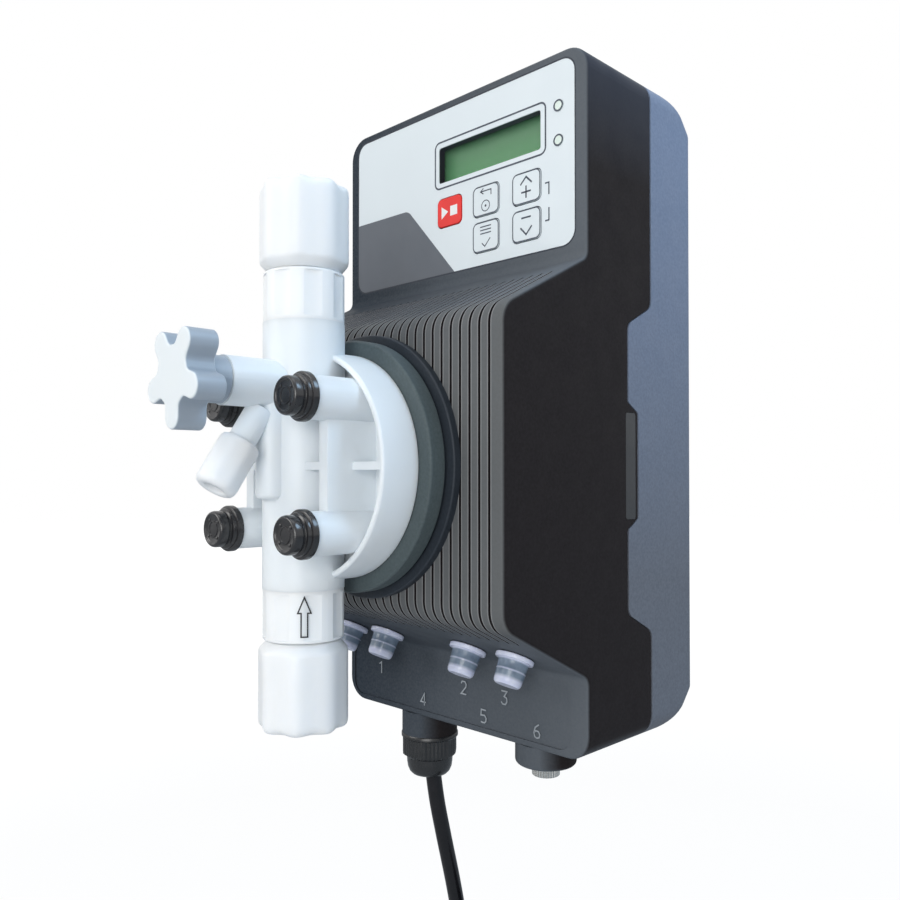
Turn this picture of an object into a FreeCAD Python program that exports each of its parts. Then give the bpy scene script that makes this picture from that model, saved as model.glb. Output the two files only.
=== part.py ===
import FreeCAD, Part
import math
import os
import re
import Sketcher

# Solenoid dosing pump for a wall: millimetres, +X right and -Y out of the wall as
# someone facing it sees them, +Z up. The origin is the middle of the flat back.

os.makedirs("parts", exist_ok=True)
Vector = FreeCAD.Vector
Rotation = FreeCAD.Rotation

# Driving sizes. A depth is a distance from the wall, a height is from the middle
# of the case, and a name ending in _r is a radius.
SIZES = [
    # Case
    ("case_width", 120),
    ("case_height", 230),
    ("case_corner_r", 8.65),
    ("case_wall", 3),
    ("case_edge_r", 1.2),
    ("panel_depth", 65),
    ("hump_rise", 40.5),
    ("upper_foot_drop", 69.5),
    ("lower_foot_rise", 26.8),
    ("slope_tilt", 27),
    ("foot_r", 4),
    ("head_r", 8),
    ("split_depth", 28.75),
    ("split_mid", 43),
    ("split_top_drop", 80.7),
    ("split_low_rise", 37.4),
    ("tab_depth", 37),
    ("tab_top", -2.8),
    ("tab_bottom", -38.5),
    ("seam", 0.8),
    ("gasket_inset", 0.6),
    ("back_r", 27),
    ("back_flat_gap", 16),
    ("back_shoulder", 15),
    ("back_edge_r", 3),
    # Ribs of the hump
    ("rib_side", 10.8),
    ("rib_count", 29),
    ("rib_gap", 0.9),
    ("rib_depth", 1.1),
    ("rib_start_ahead", 11),
    ("rib_end_ahead", 27),
    # Label and display panel
    ("label_inset", 10),
    ("label_tall", 61.3),
    ("label_top_gap", 3),
    ("label_r", 5),
    ("label_thick", 0.4),
    ("label_gap", 0.25),
    ("lcd_inset", 43.35),
    ("lcd_drop", 20.45),
    ("lcd_width", 48.5),
    ("lcd_tall", 13.3),
    ("lens_lip", 2),
    ("lens_thick", 1.5),
    ("lens_gap", 0.1),
    ("lcd_thick", 4.2),
    ("key_size", 12.3),
    ("key_tall", 10.6),
    ("key_r", 2),
    ("key_rise", 0.35),
    ("key_thick", 4.4),
    ("key_flange", 0.8),
    ("key_flange_thick", 0.9),
    ("key_gap", 0.3),
    ("key_travel", 0.4),
    ("key_top_drop", 38.5),
    ("key_low_drop", 51.3),
    ("key_left_inset", 61.9),
    ("key_middle_inset", 43.65),
    ("key_right_inset", 25.1),
    ("stem_r", 1.6),
    ("led_inset", 11.6),
    ("led_top_drop", 14.8),
    ("led_low_drop", 26.2),
    ("led_r", 1.9),
    ("lower_recess_inset", 10),
    ("lower_recess_x", -2),
    ("lower_recess_top_rise", 22.6),
    ("lower_recess_low_rise", 2.3),
    ("lower_recess_deep", 0.4),
    ("plate_thick", 0.5),
    ("plate_front", 43.8),
    # Case screws, wall inserts and boards
    ("post_inset", 9.5),
    ("post_end_gap", 10.5),
    ("post_r", 4.5),
    ("screw_r", 2),
    ("screw_head_r", 3.6),
    ("screw_head_tall", 2.4),
    ("screw_grip", 14),
    ("screw_gap", 0.15),
    ("post_back", 30.5),
    ("insert_inset", 20),
    ("insert_end_gap", 45),
    ("insert_r", 6),
    ("insert_hole_r", 2.5),
    ("insert_deep", 10),
    ("insert_floor", 3),
    ("board_thick", 1.6),
    ("board_inset", 22),
    ("board_low_drop", 61),
    ("board_top_drop", 12.6),
    ("board_behind", 10.5),
    ("board_post_r", 2.6),
    ("board_post_inset", 14),
    ("board_post_low_drop", 57),
    ("board_post_top_drop", 34),
    ("board_screw_r", 1.2),
    ("board_screw_head_r", 2.2),
    ("switch_size", 6),
    ("power_inset", 24),
    ("power_low_drop", 72),
    ("power_top_drop", 16),
    ("power_depth", 22),
    # Drive on the axis of the pump head
    ("drive_height", -21),
    ("can_r", 36),
    ("can_wall", 3),
    ("can_deep", 63.5),
    ("can_floor", 4),
    ("can_front_thick", 4),
    ("winding_r", 31.4),
    ("bobbin_wall", 1.2),
    ("bobbin_flange", 1.6),
    ("core_r", 15.4),
    ("core_long", 23),
    ("stroke", 1.25),
    ("stroke_end_gap", 0.35),
    ("armature_gap", 0.4),
    ("armature_back_gap", 0.3),
    ("rod_r", 5),
    ("bush_r", 7),
    ("bush_long", 9),
    ("slide_gap", 0.05),
    ("spring_r", 8.2),
    ("spring_wire_r", 0.6),
    ("spring_turns", 4),
    ("spring_seat_r", 9.6),
    ("spring_seat_deep", 8),
    # Rings between case and head
    ("nose_r", 23),
    ("nose_gap", 0.1),
    ("collar_r", 43.2),
    ("collar_thick", 2.6),
    ("collar_neck_r", 39.6),
    ("collar_neck_thick", 1),
    ("ring_r", 40.7),
    ("ring_thick", 6.2),
    ("ring_edge", 0.8),
    ("ring_bore_r", 14),
    ("diaphragm_r", 23.6),
    ("diaphragm_thick", 2.8),
    ("membrane_hub_r", 9.3),
    ("hub_r", 9),
    ("hub_thick", 2.2),
    # Pump head
    ("head_r_out", 35.8),
    ("head_thick", 14.1),
    ("head_rim", 1.9),
    ("head_floor", 4.6),
    ("bolt_circle_r", 27.6),
    ("boss_r", 6.5),
    ("boss_ahead", 13.3),
    ("bolt_r", 2.5),
    ("bolt_gap", 0.15),
    ("column_ahead", 25.5),
    ("column_r", 12.6),
    ("column_top", 23),
    ("column_bottom", -58.4),
    ("web_thick", 2.4),
    ("web_ahead", 7),
    ("side_wall_thick", 4),
    ("chamber_r", 16),
    ("chamber_deep", 2.6),
    ("port_r", 2.2),
    ("valve_bore_r", 8.5),
    ("valve_bore_deep", 14.5),
    ("stub_r", 7.3),
    ("stub_height", 3.65),
    ("stub_ahead", 28.6),
    ("bar_ahead", 11.4),
    ("post_bar_r", 5),
    ("post_bar_bottom", -30.8),
    ("nozzle_tilt", 57),
    ("nozzle_r", 4.2),
    ("nozzle_ahead", 16),
    ("nozzle_root_height", -4.6),
    ("nozzle_long", 18),
    ("nozzle_back", 6),
    ("nozzle_bore_r", 1.6),
    ("spindle_bore_r", 3.5),
    # Screws and caps of the head
    ("cap_flange_r", 7.2),
    ("cap_flange_thick", 2.1),
    ("cap_step_r", 6.3),
    ("cap_step_thick", 1.1),
    ("cap_neck_r", 5.1),
    ("cap_head_r", 5.9),
    ("cap_tall", 7.2),
    ("bolt_head_r", 4.2),
    ("bolt_head_tall", 4),
    # Valves and tube nuts
    ("valve_r", 12.45),
    ("valve_tall", 15.4),
    ("valve_spigot_r", 8.3),
    ("valve_spigot_tall", 13.5),
    ("valve_neck_r", 9.3),
    ("valve_neck_tall", 14),
    ("valve_bore", 2.6),
    ("valve_flute", 0.6),
    ("cage_r", 4.6),
    ("cage_tall", 8.6),
    ("ball_r", 3.2),
    ("seat_thick", 1.6),
    ("ball_seat_gap", 0.05),
    ("nut_r", 13.85),
    ("nut_flat", 13.05),
    ("nut_long", 27),
    ("nut_rest_gap", 0.4),
    ("nut_chamfer", 2.8),
    ("nut_lobes", 8),
    ("nut_wall", 6.5),
    ("nut_gap", 0.15),
    ("tube_r", 6.1),
    ("cone_r", 3.9),
    # Bleed valve
    ("spindle_r", 3.45),
    ("spindle_ahead", 7),
    ("spindle_end_r", 2.4),
    ("knob_ahead", 35),
    ("knob_thick", 9),
    ("knob_lobes", 5),
    ("knob_reach", 14.9),
    ("knob_lobe_r", 3.7),
    ("knob_core_r", 8.6),
    ("knob_hub_r", 6.9),
    ("knob_rest_gap", 0.4),
    ("knob_fillet_r", 2.2),
    ("knob_edge_r", 0.6),
    ("bleed_nut_r", 6.4),
    ("bleed_nut_flat", 6.05),
    ("bleed_nut_long", 16),
    ("bleed_nut_wall", 9),
    ("bleed_nut_start", 11.5),
    ("bleed_tube_r", 3.05),
    # Signal sockets and their caps on the lower slope
    ("socket_x_inner", 20.6),
    ("socket_x_outer", 41.3),
    ("socket_along", 15.1),
    ("socket_r", 3.6),
    ("socket_out", 7.5),
    ("socket_in", 8),
    ("dust_cap_flange_r", 6.35),
    ("dust_cap_flange_thick", 1.7),
    ("dust_cap_r", 4.95),
    ("dust_cap_tip_r", 4.5),
    ("dust_cap_tall", 10.6),
    ("dust_cap_wall", 1),
    ("dust_cap_gap", 0.3),
    ("dust_cap_rest", 0.3),
    # Cable gland, measuring socket and mains cord
    ("gland_x", -24),
    ("gland_behind", 11),
    ("gland_collar_r", 10.8),
    ("gland_collar_tall", 9.5),
    ("gland_thread_r", 7.4),
    ("gland_hex_r", 10.65),
    ("gland_hex_tall", 6.6),
    ("gland_flange_r", 8.6),
    ("gland_flange_thick", 0.8),
    ("gland_thread_long", 9),
    ("gland_gap", 0.1),
    ("gland_dome_r", 8.6),
    ("gland_dome_tall", 8.2),
    ("gland_seal_r", 6.1),
    ("cord_r", 3.1),
    ("cord_gap", 0.15),
    ("meter_x", 34),
    ("meter_behind", 11),
    ("meter_boss_r", 10.6),
    ("meter_boss_tall", 7.8),
    ("meter_r", 4.8),
    ("meter_shoulder", 0.5),
    ("meter_neck", 0.5),
    ("meter_out", 4),
    ("meter_in", 12),
    ("meter_bore_r", 3.3),
    ("meter_bore_deep", 9),
    ("plug_r", 18),
    ("plug_long", 38),
    ("plug_neck_r", 6),
    ("plug_neck_long", 14),
    ("pin_r", 2.4),
    ("pin_long", 19),
    ("pin_space", 19),
]

# Places and sizes that follow others, each with a named distance from the sheet
FOLLOWS = {
    "rib_end": "(panel_depth + rib_end_ahead)",
    "rib_start": "(panel_depth + rib_start_ahead)",
    "back_flat": "(case_height / 2 - back_flat_gap)",
    "post_x": "(case_width / 2 - post_inset)",
    "insert_x": "(case_width / 2 - insert_inset)",
    "board_width": "(case_width - board_inset)",
    "board_post_x": "(case_width / 2 - board_post_inset)",
    "power_width": "(case_width - power_inset)",
    "label_width": "(case_width - label_inset)",
    "led_x": "(case_width / 2 - led_inset)",
    "lcd_x": "(case_width / 2 - lcd_inset)",
    "key_left": "(case_width / 2 - key_left_inset)",
    "key_middle": "(case_width / 2 - key_middle_inset)",
    "key_right": "(case_width / 2 - key_right_inset)",
    "lower_recess_width": "(case_width - lower_recess_inset)",
    "rib_pitch": "((case_width - rib_side) / (rib_count - 1))",
    "label_top": "(case_height / 2 - label_top_gap)",
    "label_bottom": "(label_top - label_tall)",
    "lcd_height": "(label_top - lcd_drop)",
    "key_top_row": "(label_top - key_top_drop)",
    "key_low_row": "(label_top - key_low_drop)",
    "led_top": "(label_top - led_top_drop)",
    "led_low": "(label_top - led_low_drop)",
    "board_bottom": "(label_top - board_low_drop)",
    "board_top": "(label_top - board_top_drop)",
    "board_post_low": "(label_top - board_post_low_drop)",
    "board_post_top": "(label_top - board_post_top_drop)",
    "power_bottom": "(label_top - power_low_drop)",
    "power_top": "(label_top - power_top_drop)",
    "upper_foot": "(case_height / 2 - upper_foot_drop)",
    "lower_foot": "(lower_foot_rise - case_height / 2)",
    "lower_recess_top": "(lower_recess_top_rise - case_height / 2)",
    "lower_recess_bottom": "(lower_recess_low_rise - case_height / 2)",
    "post_height": "(case_height / 2 - post_end_gap)",
    "insert_height": "(case_height / 2 - insert_end_gap)",
    "split_top": "(case_height / 2 - split_top_drop)",
    "split_bottom": "(split_low_rise - case_height / 2)",
    "hump_depth": "(panel_depth + hump_rise)",
    "board_depth": "(panel_depth - board_behind)",
    "can_back": "(hump_depth - can_deep)",
    "air_gap": "(stroke + stroke_end_gap)",
    "column_depth": "(hump_depth + column_ahead)",
    "boss_face": "(column_depth + boss_ahead)",
    "web_front": "(column_depth + web_ahead)",
    "stub_face": "(column_depth + stub_ahead)",
    "post_axis": "(column_depth + bar_ahead)",
    "nozzle_root": "(column_depth + nozzle_ahead)",
    "spindle_start": "(column_depth + spindle_ahead)",
    "knob_back": "(column_depth + knob_ahead)",
    "knob_front": "(knob_back + knob_thick)",
    "gland_depth": "(panel_depth - gland_behind)",
    "meter_depth": "(panel_depth - meter_behind)",
}

doc = FreeCAD.newDocument("DosingPump")
sheet = doc.addObject("Spreadsheet::Sheet", "Sizes")
for row, (alias, size) in enumerate(SIZES, start=1):
    sheet.set("A%d" % row, alias)
    sheet.set("B%d" % row, str(size))
    sheet.setAlias("B%d" % row, alias)
doc.recompute()
ALIASES = {alias for alias, size in SIZES}
parts = []


# Expressions and sketches


def bound(text):
    """The expression with each size named as a cell of the sheet."""
    def full(match):
        word = match.group(0)
        if word in FOLLOWS:
            return bound(FOLLOWS[word])
        return "Sizes." + word if word in ALIASES else word
    return re.sub(r"[a-z_]+", full, str(text))


def value(text):
    """The number that an expression gives now."""
    return float(sheet.evalExpression(bound(text)))


def bind(thing, **texts):
    """Binds properties of an object to expressions."""
    for name, text in texts.items():
        thing.setExpression(name, bound(text))


def place(thing, x="0", y="0", z="0", turn=None, tilt=None):
    """Binds a placement. turn is (axis, degrees), tilt an expression about X."""
    if turn:
        thing.Placement = FreeCAD.Placement(Vector(), Rotation(*turn))
    if tilt:
        start = Rotation(Vector(1, 0, 0), value(tilt))
        thing.Placement = FreeCAD.Placement(Vector(), start)
        thing.setExpression("Placement.Rotation.Angle", bound(tilt))
    for axis, text in (("x", x), ("y", y), ("z", z)):
        thing.setExpression("Placement.Base." + axis, bound(text))


# Facing the wall, a piece is drawn with x right, y up and z out of the wall
FRONT = (Vector(1, 0, 0), 90)
DOWN = (Vector(1, 0, 0), 180)


def keep(thing, label):
    """Names a finished sub-part."""
    thing.Label = label
    parts.append(thing)
    return thing


def new_body(name):
    return doc.addObject("PartDesign::Body", name)


def origin_item(body, role):
    return [item for item in body.Origin.OriginFeatures if item.Role == role][0]


def new_sketch(body, plane, offset="0", tilt=None, up="0"):
    """A sketch on an origin plane, moved out by offset and tilted about its X."""
    sketch = body.newObject("Sketcher::SketchObject", body.Name + "Sketch")
    sketch.AttachmentSupport = [(origin_item(body, plane), "")]
    sketch.MapMode = "FlatFace"
    if tilt:
        turned_by = Rotation(Vector(1, 0, 0), value(tilt))
        sketch.AttachmentOffset = FreeCAD.Placement(Vector(), turned_by)
        sketch.setExpression("AttachmentOffset.Rotation.Angle", bound(tilt))
    for axis, text in (("y", up), ("z", offset)):
        sketch.setExpression("AttachmentOffset.Base." + axis, bound(text))
    return sketch


def dimension(sketch, kind, text, *where):
    """A dimension that follows an expression."""
    index = sketch.addConstraint(Sketcher.Constraint(kind, *where, value(text)))
    sketch.setExpression("Constraints[%d]" % index, bound(text))


def corner_arc(before, here, after, radius):
    """Where a rounding of this radius leaves both lines, and its centre."""
    back = (before - here).normalize()
    on = (after - here).normalize()
    half = back.getAngle(on) / 2
    run = radius / math.tan(half)
    middle = here + (back + on).normalize() * (radius / math.sin(half))
    return here + back * run, here + on * run, middle


def add_arc(sketch, start, stop, middle, radius):
    """Adds a rounding and returns it with its first and last point's numbers."""
    from_angle = math.atan2(start.y - middle.y, start.x - middle.x)
    to_angle = math.atan2(stop.y - middle.y, stop.x - middle.x)
    circle = Part.Circle(middle, Vector(0, 0, 1), radius)
    if (to_angle - from_angle) % (2 * math.pi) < math.pi:
        return sketch.addGeometry(Part.ArcOfCircle(circle, from_angle, to_angle)), 1, 2
    return sketch.addGeometry(Part.ArcOfCircle(circle, to_angle, from_angle)), 2, 1


def outline(sketch, points):
    """Draws a closed outline of (x, y) or (x, y, rounding) expressions."""
    points = [tuple(point) + ("0",) * (3 - len(point)) for point in points]
    at = [Vector(value(x), value(y), 0) for x, y, rounding in points]
    radii = [value(rounding) for x, y, rounding in points]
    count = len(points)
    ends = []
    for i in range(count):
        if radii[i] > 0:
            ends.append(corner_arc(at[i - 1], at[i], at[(i + 1) % count], radii[i]))
        else:
            ends.append((at[i], at[i], at[i]))
    lines = []
    for i in range(count):
        edge = Part.LineSegment(ends[i][1], ends[(i + 1) % count][0])
        lines.append(sketch.addGeometry(edge))
    for i in range(count):
        x, y, rounding = points[i]
        before, after = lines[i - 1], lines[i]
        if radii[i] > 0:
            arc, first, last = add_arc(sketch, *ends[i], radii[i])
            sketch.addConstraint(Sketcher.Constraint("Tangent", before, 2, arc, first))
            sketch.addConstraint(Sketcher.Constraint("Tangent", arc, last, after, 1))
            dimension(sketch, "Radius", rounding, arc)
            corner = sketch.addGeometry(Part.Point(at[i]), True)
            for line in (before, after):
                held = Sketcher.Constraint("PointOnObject", corner, 1, line)
                sketch.addConstraint(held)
        else:
            sketch.addConstraint(Sketcher.Constraint("Coincident", before, 2, after, 1))
            corner = after
        dimension(sketch, "DistanceX", x, -1, 1, corner, 1)
        dimension(sketch, "DistanceY", y, -1, 1, corner, 1)
    return sketch


def rectangle(sketch, x, y, width, tall, rounding="0"):
    """A rectangle about a centre, with rounded corners."""
    left, right = "(%s) - (%s) / 2" % (x, width), "(%s) + (%s) / 2" % (x, width)
    low, high = "(%s) - (%s) / 2" % (y, tall), "(%s) + (%s) / 2" % (y, tall)
    corners = [(left, low), (right, low), (right, high), (left, high)]
    return outline(sketch, [(a, b, rounding) for a, b in corners])


def circle(sketch, x, y, radius):
    middle = Vector(value(x), value(y), 0)
    ring = sketch.addGeometry(Part.Circle(middle, Vector(0, 0, 1), value(radius)))
    dimension(sketch, "DistanceX", x, -1, 1, ring, 3)
    dimension(sketch, "DistanceY", y, -1, 1, ring, 3)
    dimension(sketch, "Radius", radius, ring)
    return sketch


# Features of a body


def feature(body, kind, sketch, length, flip=False):
    made = body.newObject("PartDesign::" + kind, body.Name + kind)
    made.Profile = sketch
    made.Reversed = flip
    made.setExpression("Length", bound(length))
    sketch.Visibility = False
    return made


def pad(body, sketch, length, flip=False):
    return feature(body, "Pad", sketch, length, flip)


def pocket(body, sketch, length, flip=False):
    """Cuts against the sketch's normal, or along it when flipped, and checks."""
    doc.recompute()
    before = body.Shape.Volume
    made = feature(body, "Pocket", sketch, length, flip)
    doc.recompute()
    if body.Shape.Volume >= before - 1e-6:
        raise ValueError("this cut of %s removes nothing" % body.Name)
    return made


def turn_about(body, sketch, kind="Revolution"):
    made = body.newObject("PartDesign::" + kind, body.Name + kind)
    made.Profile = sketch
    made.ReferenceAxis = (sketch, ["V_Axis"])
    made.Angle = 360
    return made


def repeat_round(body, features, count):
    """Repeats features about the body's own Z."""
    made = body.newObject("PartDesign::PolarPattern", body.Name + "Round")
    made.Originals = features
    made.Axis = (origin_item(body, "Z_Axis"), [""])
    made.Angle = 360
    made.setExpression("Occurrences", bound(count))
    body.Tip = made
    return made


def round_edges(body, radius, chosen, kind="Fillet"):
    """Rounds or bevels the edges that a test picks."""
    doc.recompute()
    names = []
    for number, edge in enumerate(body.Shape.Edges, start=1):
        if chosen(edge):
            names.append("Edge%d" % number)
    base = body.Tip
    made = body.newObject("PartDesign::" + kind, body.Name + kind)
    made.Base = (base, names)
    made.setExpression("Radius" if kind == "Fillet" else "Size", bound(radius))
    body.Tip = made
    return made


def turned(name, points):
    """A body turned about its own Z from (radius, height) points."""
    body = new_body(name)
    turn_about(body, outline(new_sketch(body, "XZ_Plane"), points))
    return body


def tube(name, inner, outer, low, high):
    """A turned ring or, with no inner radius, a disc."""
    return turned(name, [(inner, low), (outer, low), (outer, high), (inner, high)])


# Primitives and booleans


def block(name, x, y, z, width, deep, tall):
    """A box from its least corner."""
    made = doc.addObject("Part::Box", name)
    bind(made, Length=width, Width=deep, Height=tall)
    place(made, x, y, z)
    return made


def join(name, things):
    made = doc.addObject("Part::MultiFuse", name)
    made.Shapes = things
    made.Refine = True
    return made


def cut(name, base, tools):
    made = doc.addObject("Part::Cut", name)
    made.Base = base
    made.Tool = tools[0] if len(tools) == 1 else join(name + "Tools", tools)
    made.Refine = True
    return made


def on_front(thing, x="0", height="0"):
    """Stands a body that is drawn facing the wall on its place."""
    place(thing, x, "0", height, turn=FRONT)
    return thing


# The case

SLOPE_RISE = "(hump_depth - panel_depth) * tan(slope_tilt)"
UPPER_HEAD = "(upper_foot - %s)" % SLOPE_RISE
LOWER_HEAD = "(lower_foot + %s)" % SLOPE_RISE
CASE_TOP = "case_height / 2"
INNER_TOP = "(case_height / 2 - case_wall)"
MITRE = "case_wall * tan(45 - slope_tilt / 2)"
SPLIT_RISE = "(split_mid - split_depth) * tan(slope_tilt)"


def split_line(shift="0"):
    """The stepped joint between cover and housing, from the bottom up."""
    depths = {name: "%s - (%s)" % (name, shift)
              for name in ("split_depth", "split_mid", "tab_depth")}
    tab_step = "(split_mid - tab_depth) * 0.6"
    return [
        ("split_bottom", depths["split_depth"], "foot_r"),
        ("split_bottom + %s" % SPLIT_RISE, depths["split_mid"], "foot_r"),
        ("tab_bottom - %s" % tab_step, depths["split_mid"], "case_edge_r"),
        ("tab_bottom", depths["tab_depth"], "case_edge_r"),
        ("tab_top", depths["tab_depth"], "case_edge_r"),
        ("tab_top + %s" % tab_step, depths["split_mid"], "case_edge_r"),
        ("split_top - %s" % SPLIT_RISE, depths["split_mid"], "foot_r"),
        ("split_top", depths["split_depth"], "foot_r"),
    ]


def cover_outline():
    ends = [(CASE_TOP, "split_depth"), (CASE_TOP, "panel_depth")]
    front = [
        ("upper_foot", "panel_depth", "foot_r"),
        (UPPER_HEAD, "hump_depth", "head_r"),
        (LOWER_HEAD, "hump_depth", "head_r"),
        ("lower_foot", "panel_depth", "foot_r"),
    ]
    low = [("-" + CASE_TOP, "panel_depth"), ("-" + CASE_TOP, "split_depth")]
    return ends + front + low + split_line()


def cover_inside():
    """The cover's outline moved in by its wall, open towards the wall."""
    back = "(split_depth - case_wall)"
    return [
        (INNER_TOP, back),
        (INNER_TOP, "panel_depth - case_wall"),
        ("upper_foot - " + MITRE, "panel_depth - case_wall"),
        (UPPER_HEAD + " - " + MITRE, "hump_depth - case_wall", "head_r - case_wall"),
        (LOWER_HEAD + " + " + MITRE, "hump_depth - case_wall", "head_r - case_wall"),
        ("lower_foot + " + MITRE, "panel_depth - case_wall"),
        ("-" + INNER_TOP, "panel_depth - case_wall"),
        ("-" + INNER_TOP, back),
    ]


def rib_groove():
    """The space between two ribs, over the slopes and the front of the hump."""
    fall = "(hump_depth - %s) * tan(slope_tilt)"
    bottom_mitre = "rib_depth * tan(45 - slope_tilt / 2)"
    straight = "rib_depth / cos(slope_tilt)"
    start = UPPER_HEAD + " + " + fall % "rib_start"
    end = LOWER_HEAD + " - " + fall % "rib_end"
    floor = "hump_depth - rib_depth"
    return [
        (start, "rib_start"),
        (start + " + 1", "rib_start"),
        (start + " + 1", "hump_depth + 1"),
        (end + " - 1", "hump_depth + 1"),
        (end + " - 1", "rib_end"),
        (end, "rib_end"),
        (end + " + " + straight, "rib_end"),
        (LOWER_HEAD + " + " + bottom_mitre, floor, "head_r - rib_depth"),
        (UPPER_HEAD + " - " + bottom_mitre, floor, "head_r - rib_depth"),
        (start + " - " + straight, "rib_start"),
    ]


KEYS = [
    ("key_start_stop", "key_left", "key_top_row"),
    ("key_escape", "key_middle", "key_top_row"),
    ("key_menu", "key_middle", "key_low_row"),
    ("key_up", "key_right", "key_top_row"),
    ("key_down", "key_right", "key_low_row"),
]
LABEL_MIDDLE = "(label_top + label_bottom) / 2"
LABEL_TALL = "(label_top - label_bottom)"
LOWER_MIDDLE = "(lower_recess_top + lower_recess_bottom) / 2"
LOWER_TALL = "(lower_recess_top - lower_recess_bottom)"
SOCKETS = ["-socket_x_outer", "-socket_x_inner", "socket_x_inner", "socket_x_outer"]


def panel_openings(sketch, gap):
    """Display window, keys and lamps, each with a gap around it."""
    rectangle(sketch, "lcd_x", "lcd_height", "lcd_width", "lcd_tall", "1")
    for name, x, height in KEYS:
        rectangle(sketch, x, height, "key_size + 2 * " + gap,
                  "key_tall + 2 * " + gap, "key_r + " + gap)
    for height in ("led_top", "led_low"):
        circle(sketch, "led_x", height, "led_r + 0.05")
    return sketch


def four_corners(sketch, x, low, high, radius):
    for side in ("-", ""):
        for height in (low, high):
            circle(sketch, side + x, height, radius)
    return sketch


def bolt_holes(sketch, radius):
    """Four holes at 45 degrees on the head's bolt circle."""
    reach = "bolt_circle_r * cos(45)"
    for across in ("-", ""):
        for up in ("-", ""):
            circle(sketch, across + reach, up + reach, radius)
    return sketch


def at_rim(edge, depth):
    """True for an edge of the case's outer rim that lies in front of a depth."""
    half_width, half_height = value("case_width / 2"), value(CASE_TOP)
    corner = value("case_corner_r")
    box = edge.BoundBox
    if box.ZMin < depth - 0.01:
        return False
    on_side = box.XMin > half_width - 0.01 or box.XMax < 0.01 - half_width
    on_end = box.YMin > half_height - 0.01 or box.YMax < 0.01 - half_height
    far_x = min(abs(box.XMin), abs(box.XMax)) > half_width - corner - 0.01
    far_y = min(abs(box.YMin), abs(box.YMax)) > half_height - corner - 0.01
    return on_side or on_end or (far_x and far_y)


def at_case_corner(edge):
    box = edge.BoundBox
    across = box.XMax - box.XMin
    at_side = abs(abs(box.XMin) - value("case_width / 2")) < 0.01
    at_end = max(abs(box.YMin), abs(box.YMax)) > value(CASE_TOP) - 0.01
    return across < 0.01 and at_side and at_end and box.ZMax - box.ZMin > 1


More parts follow.
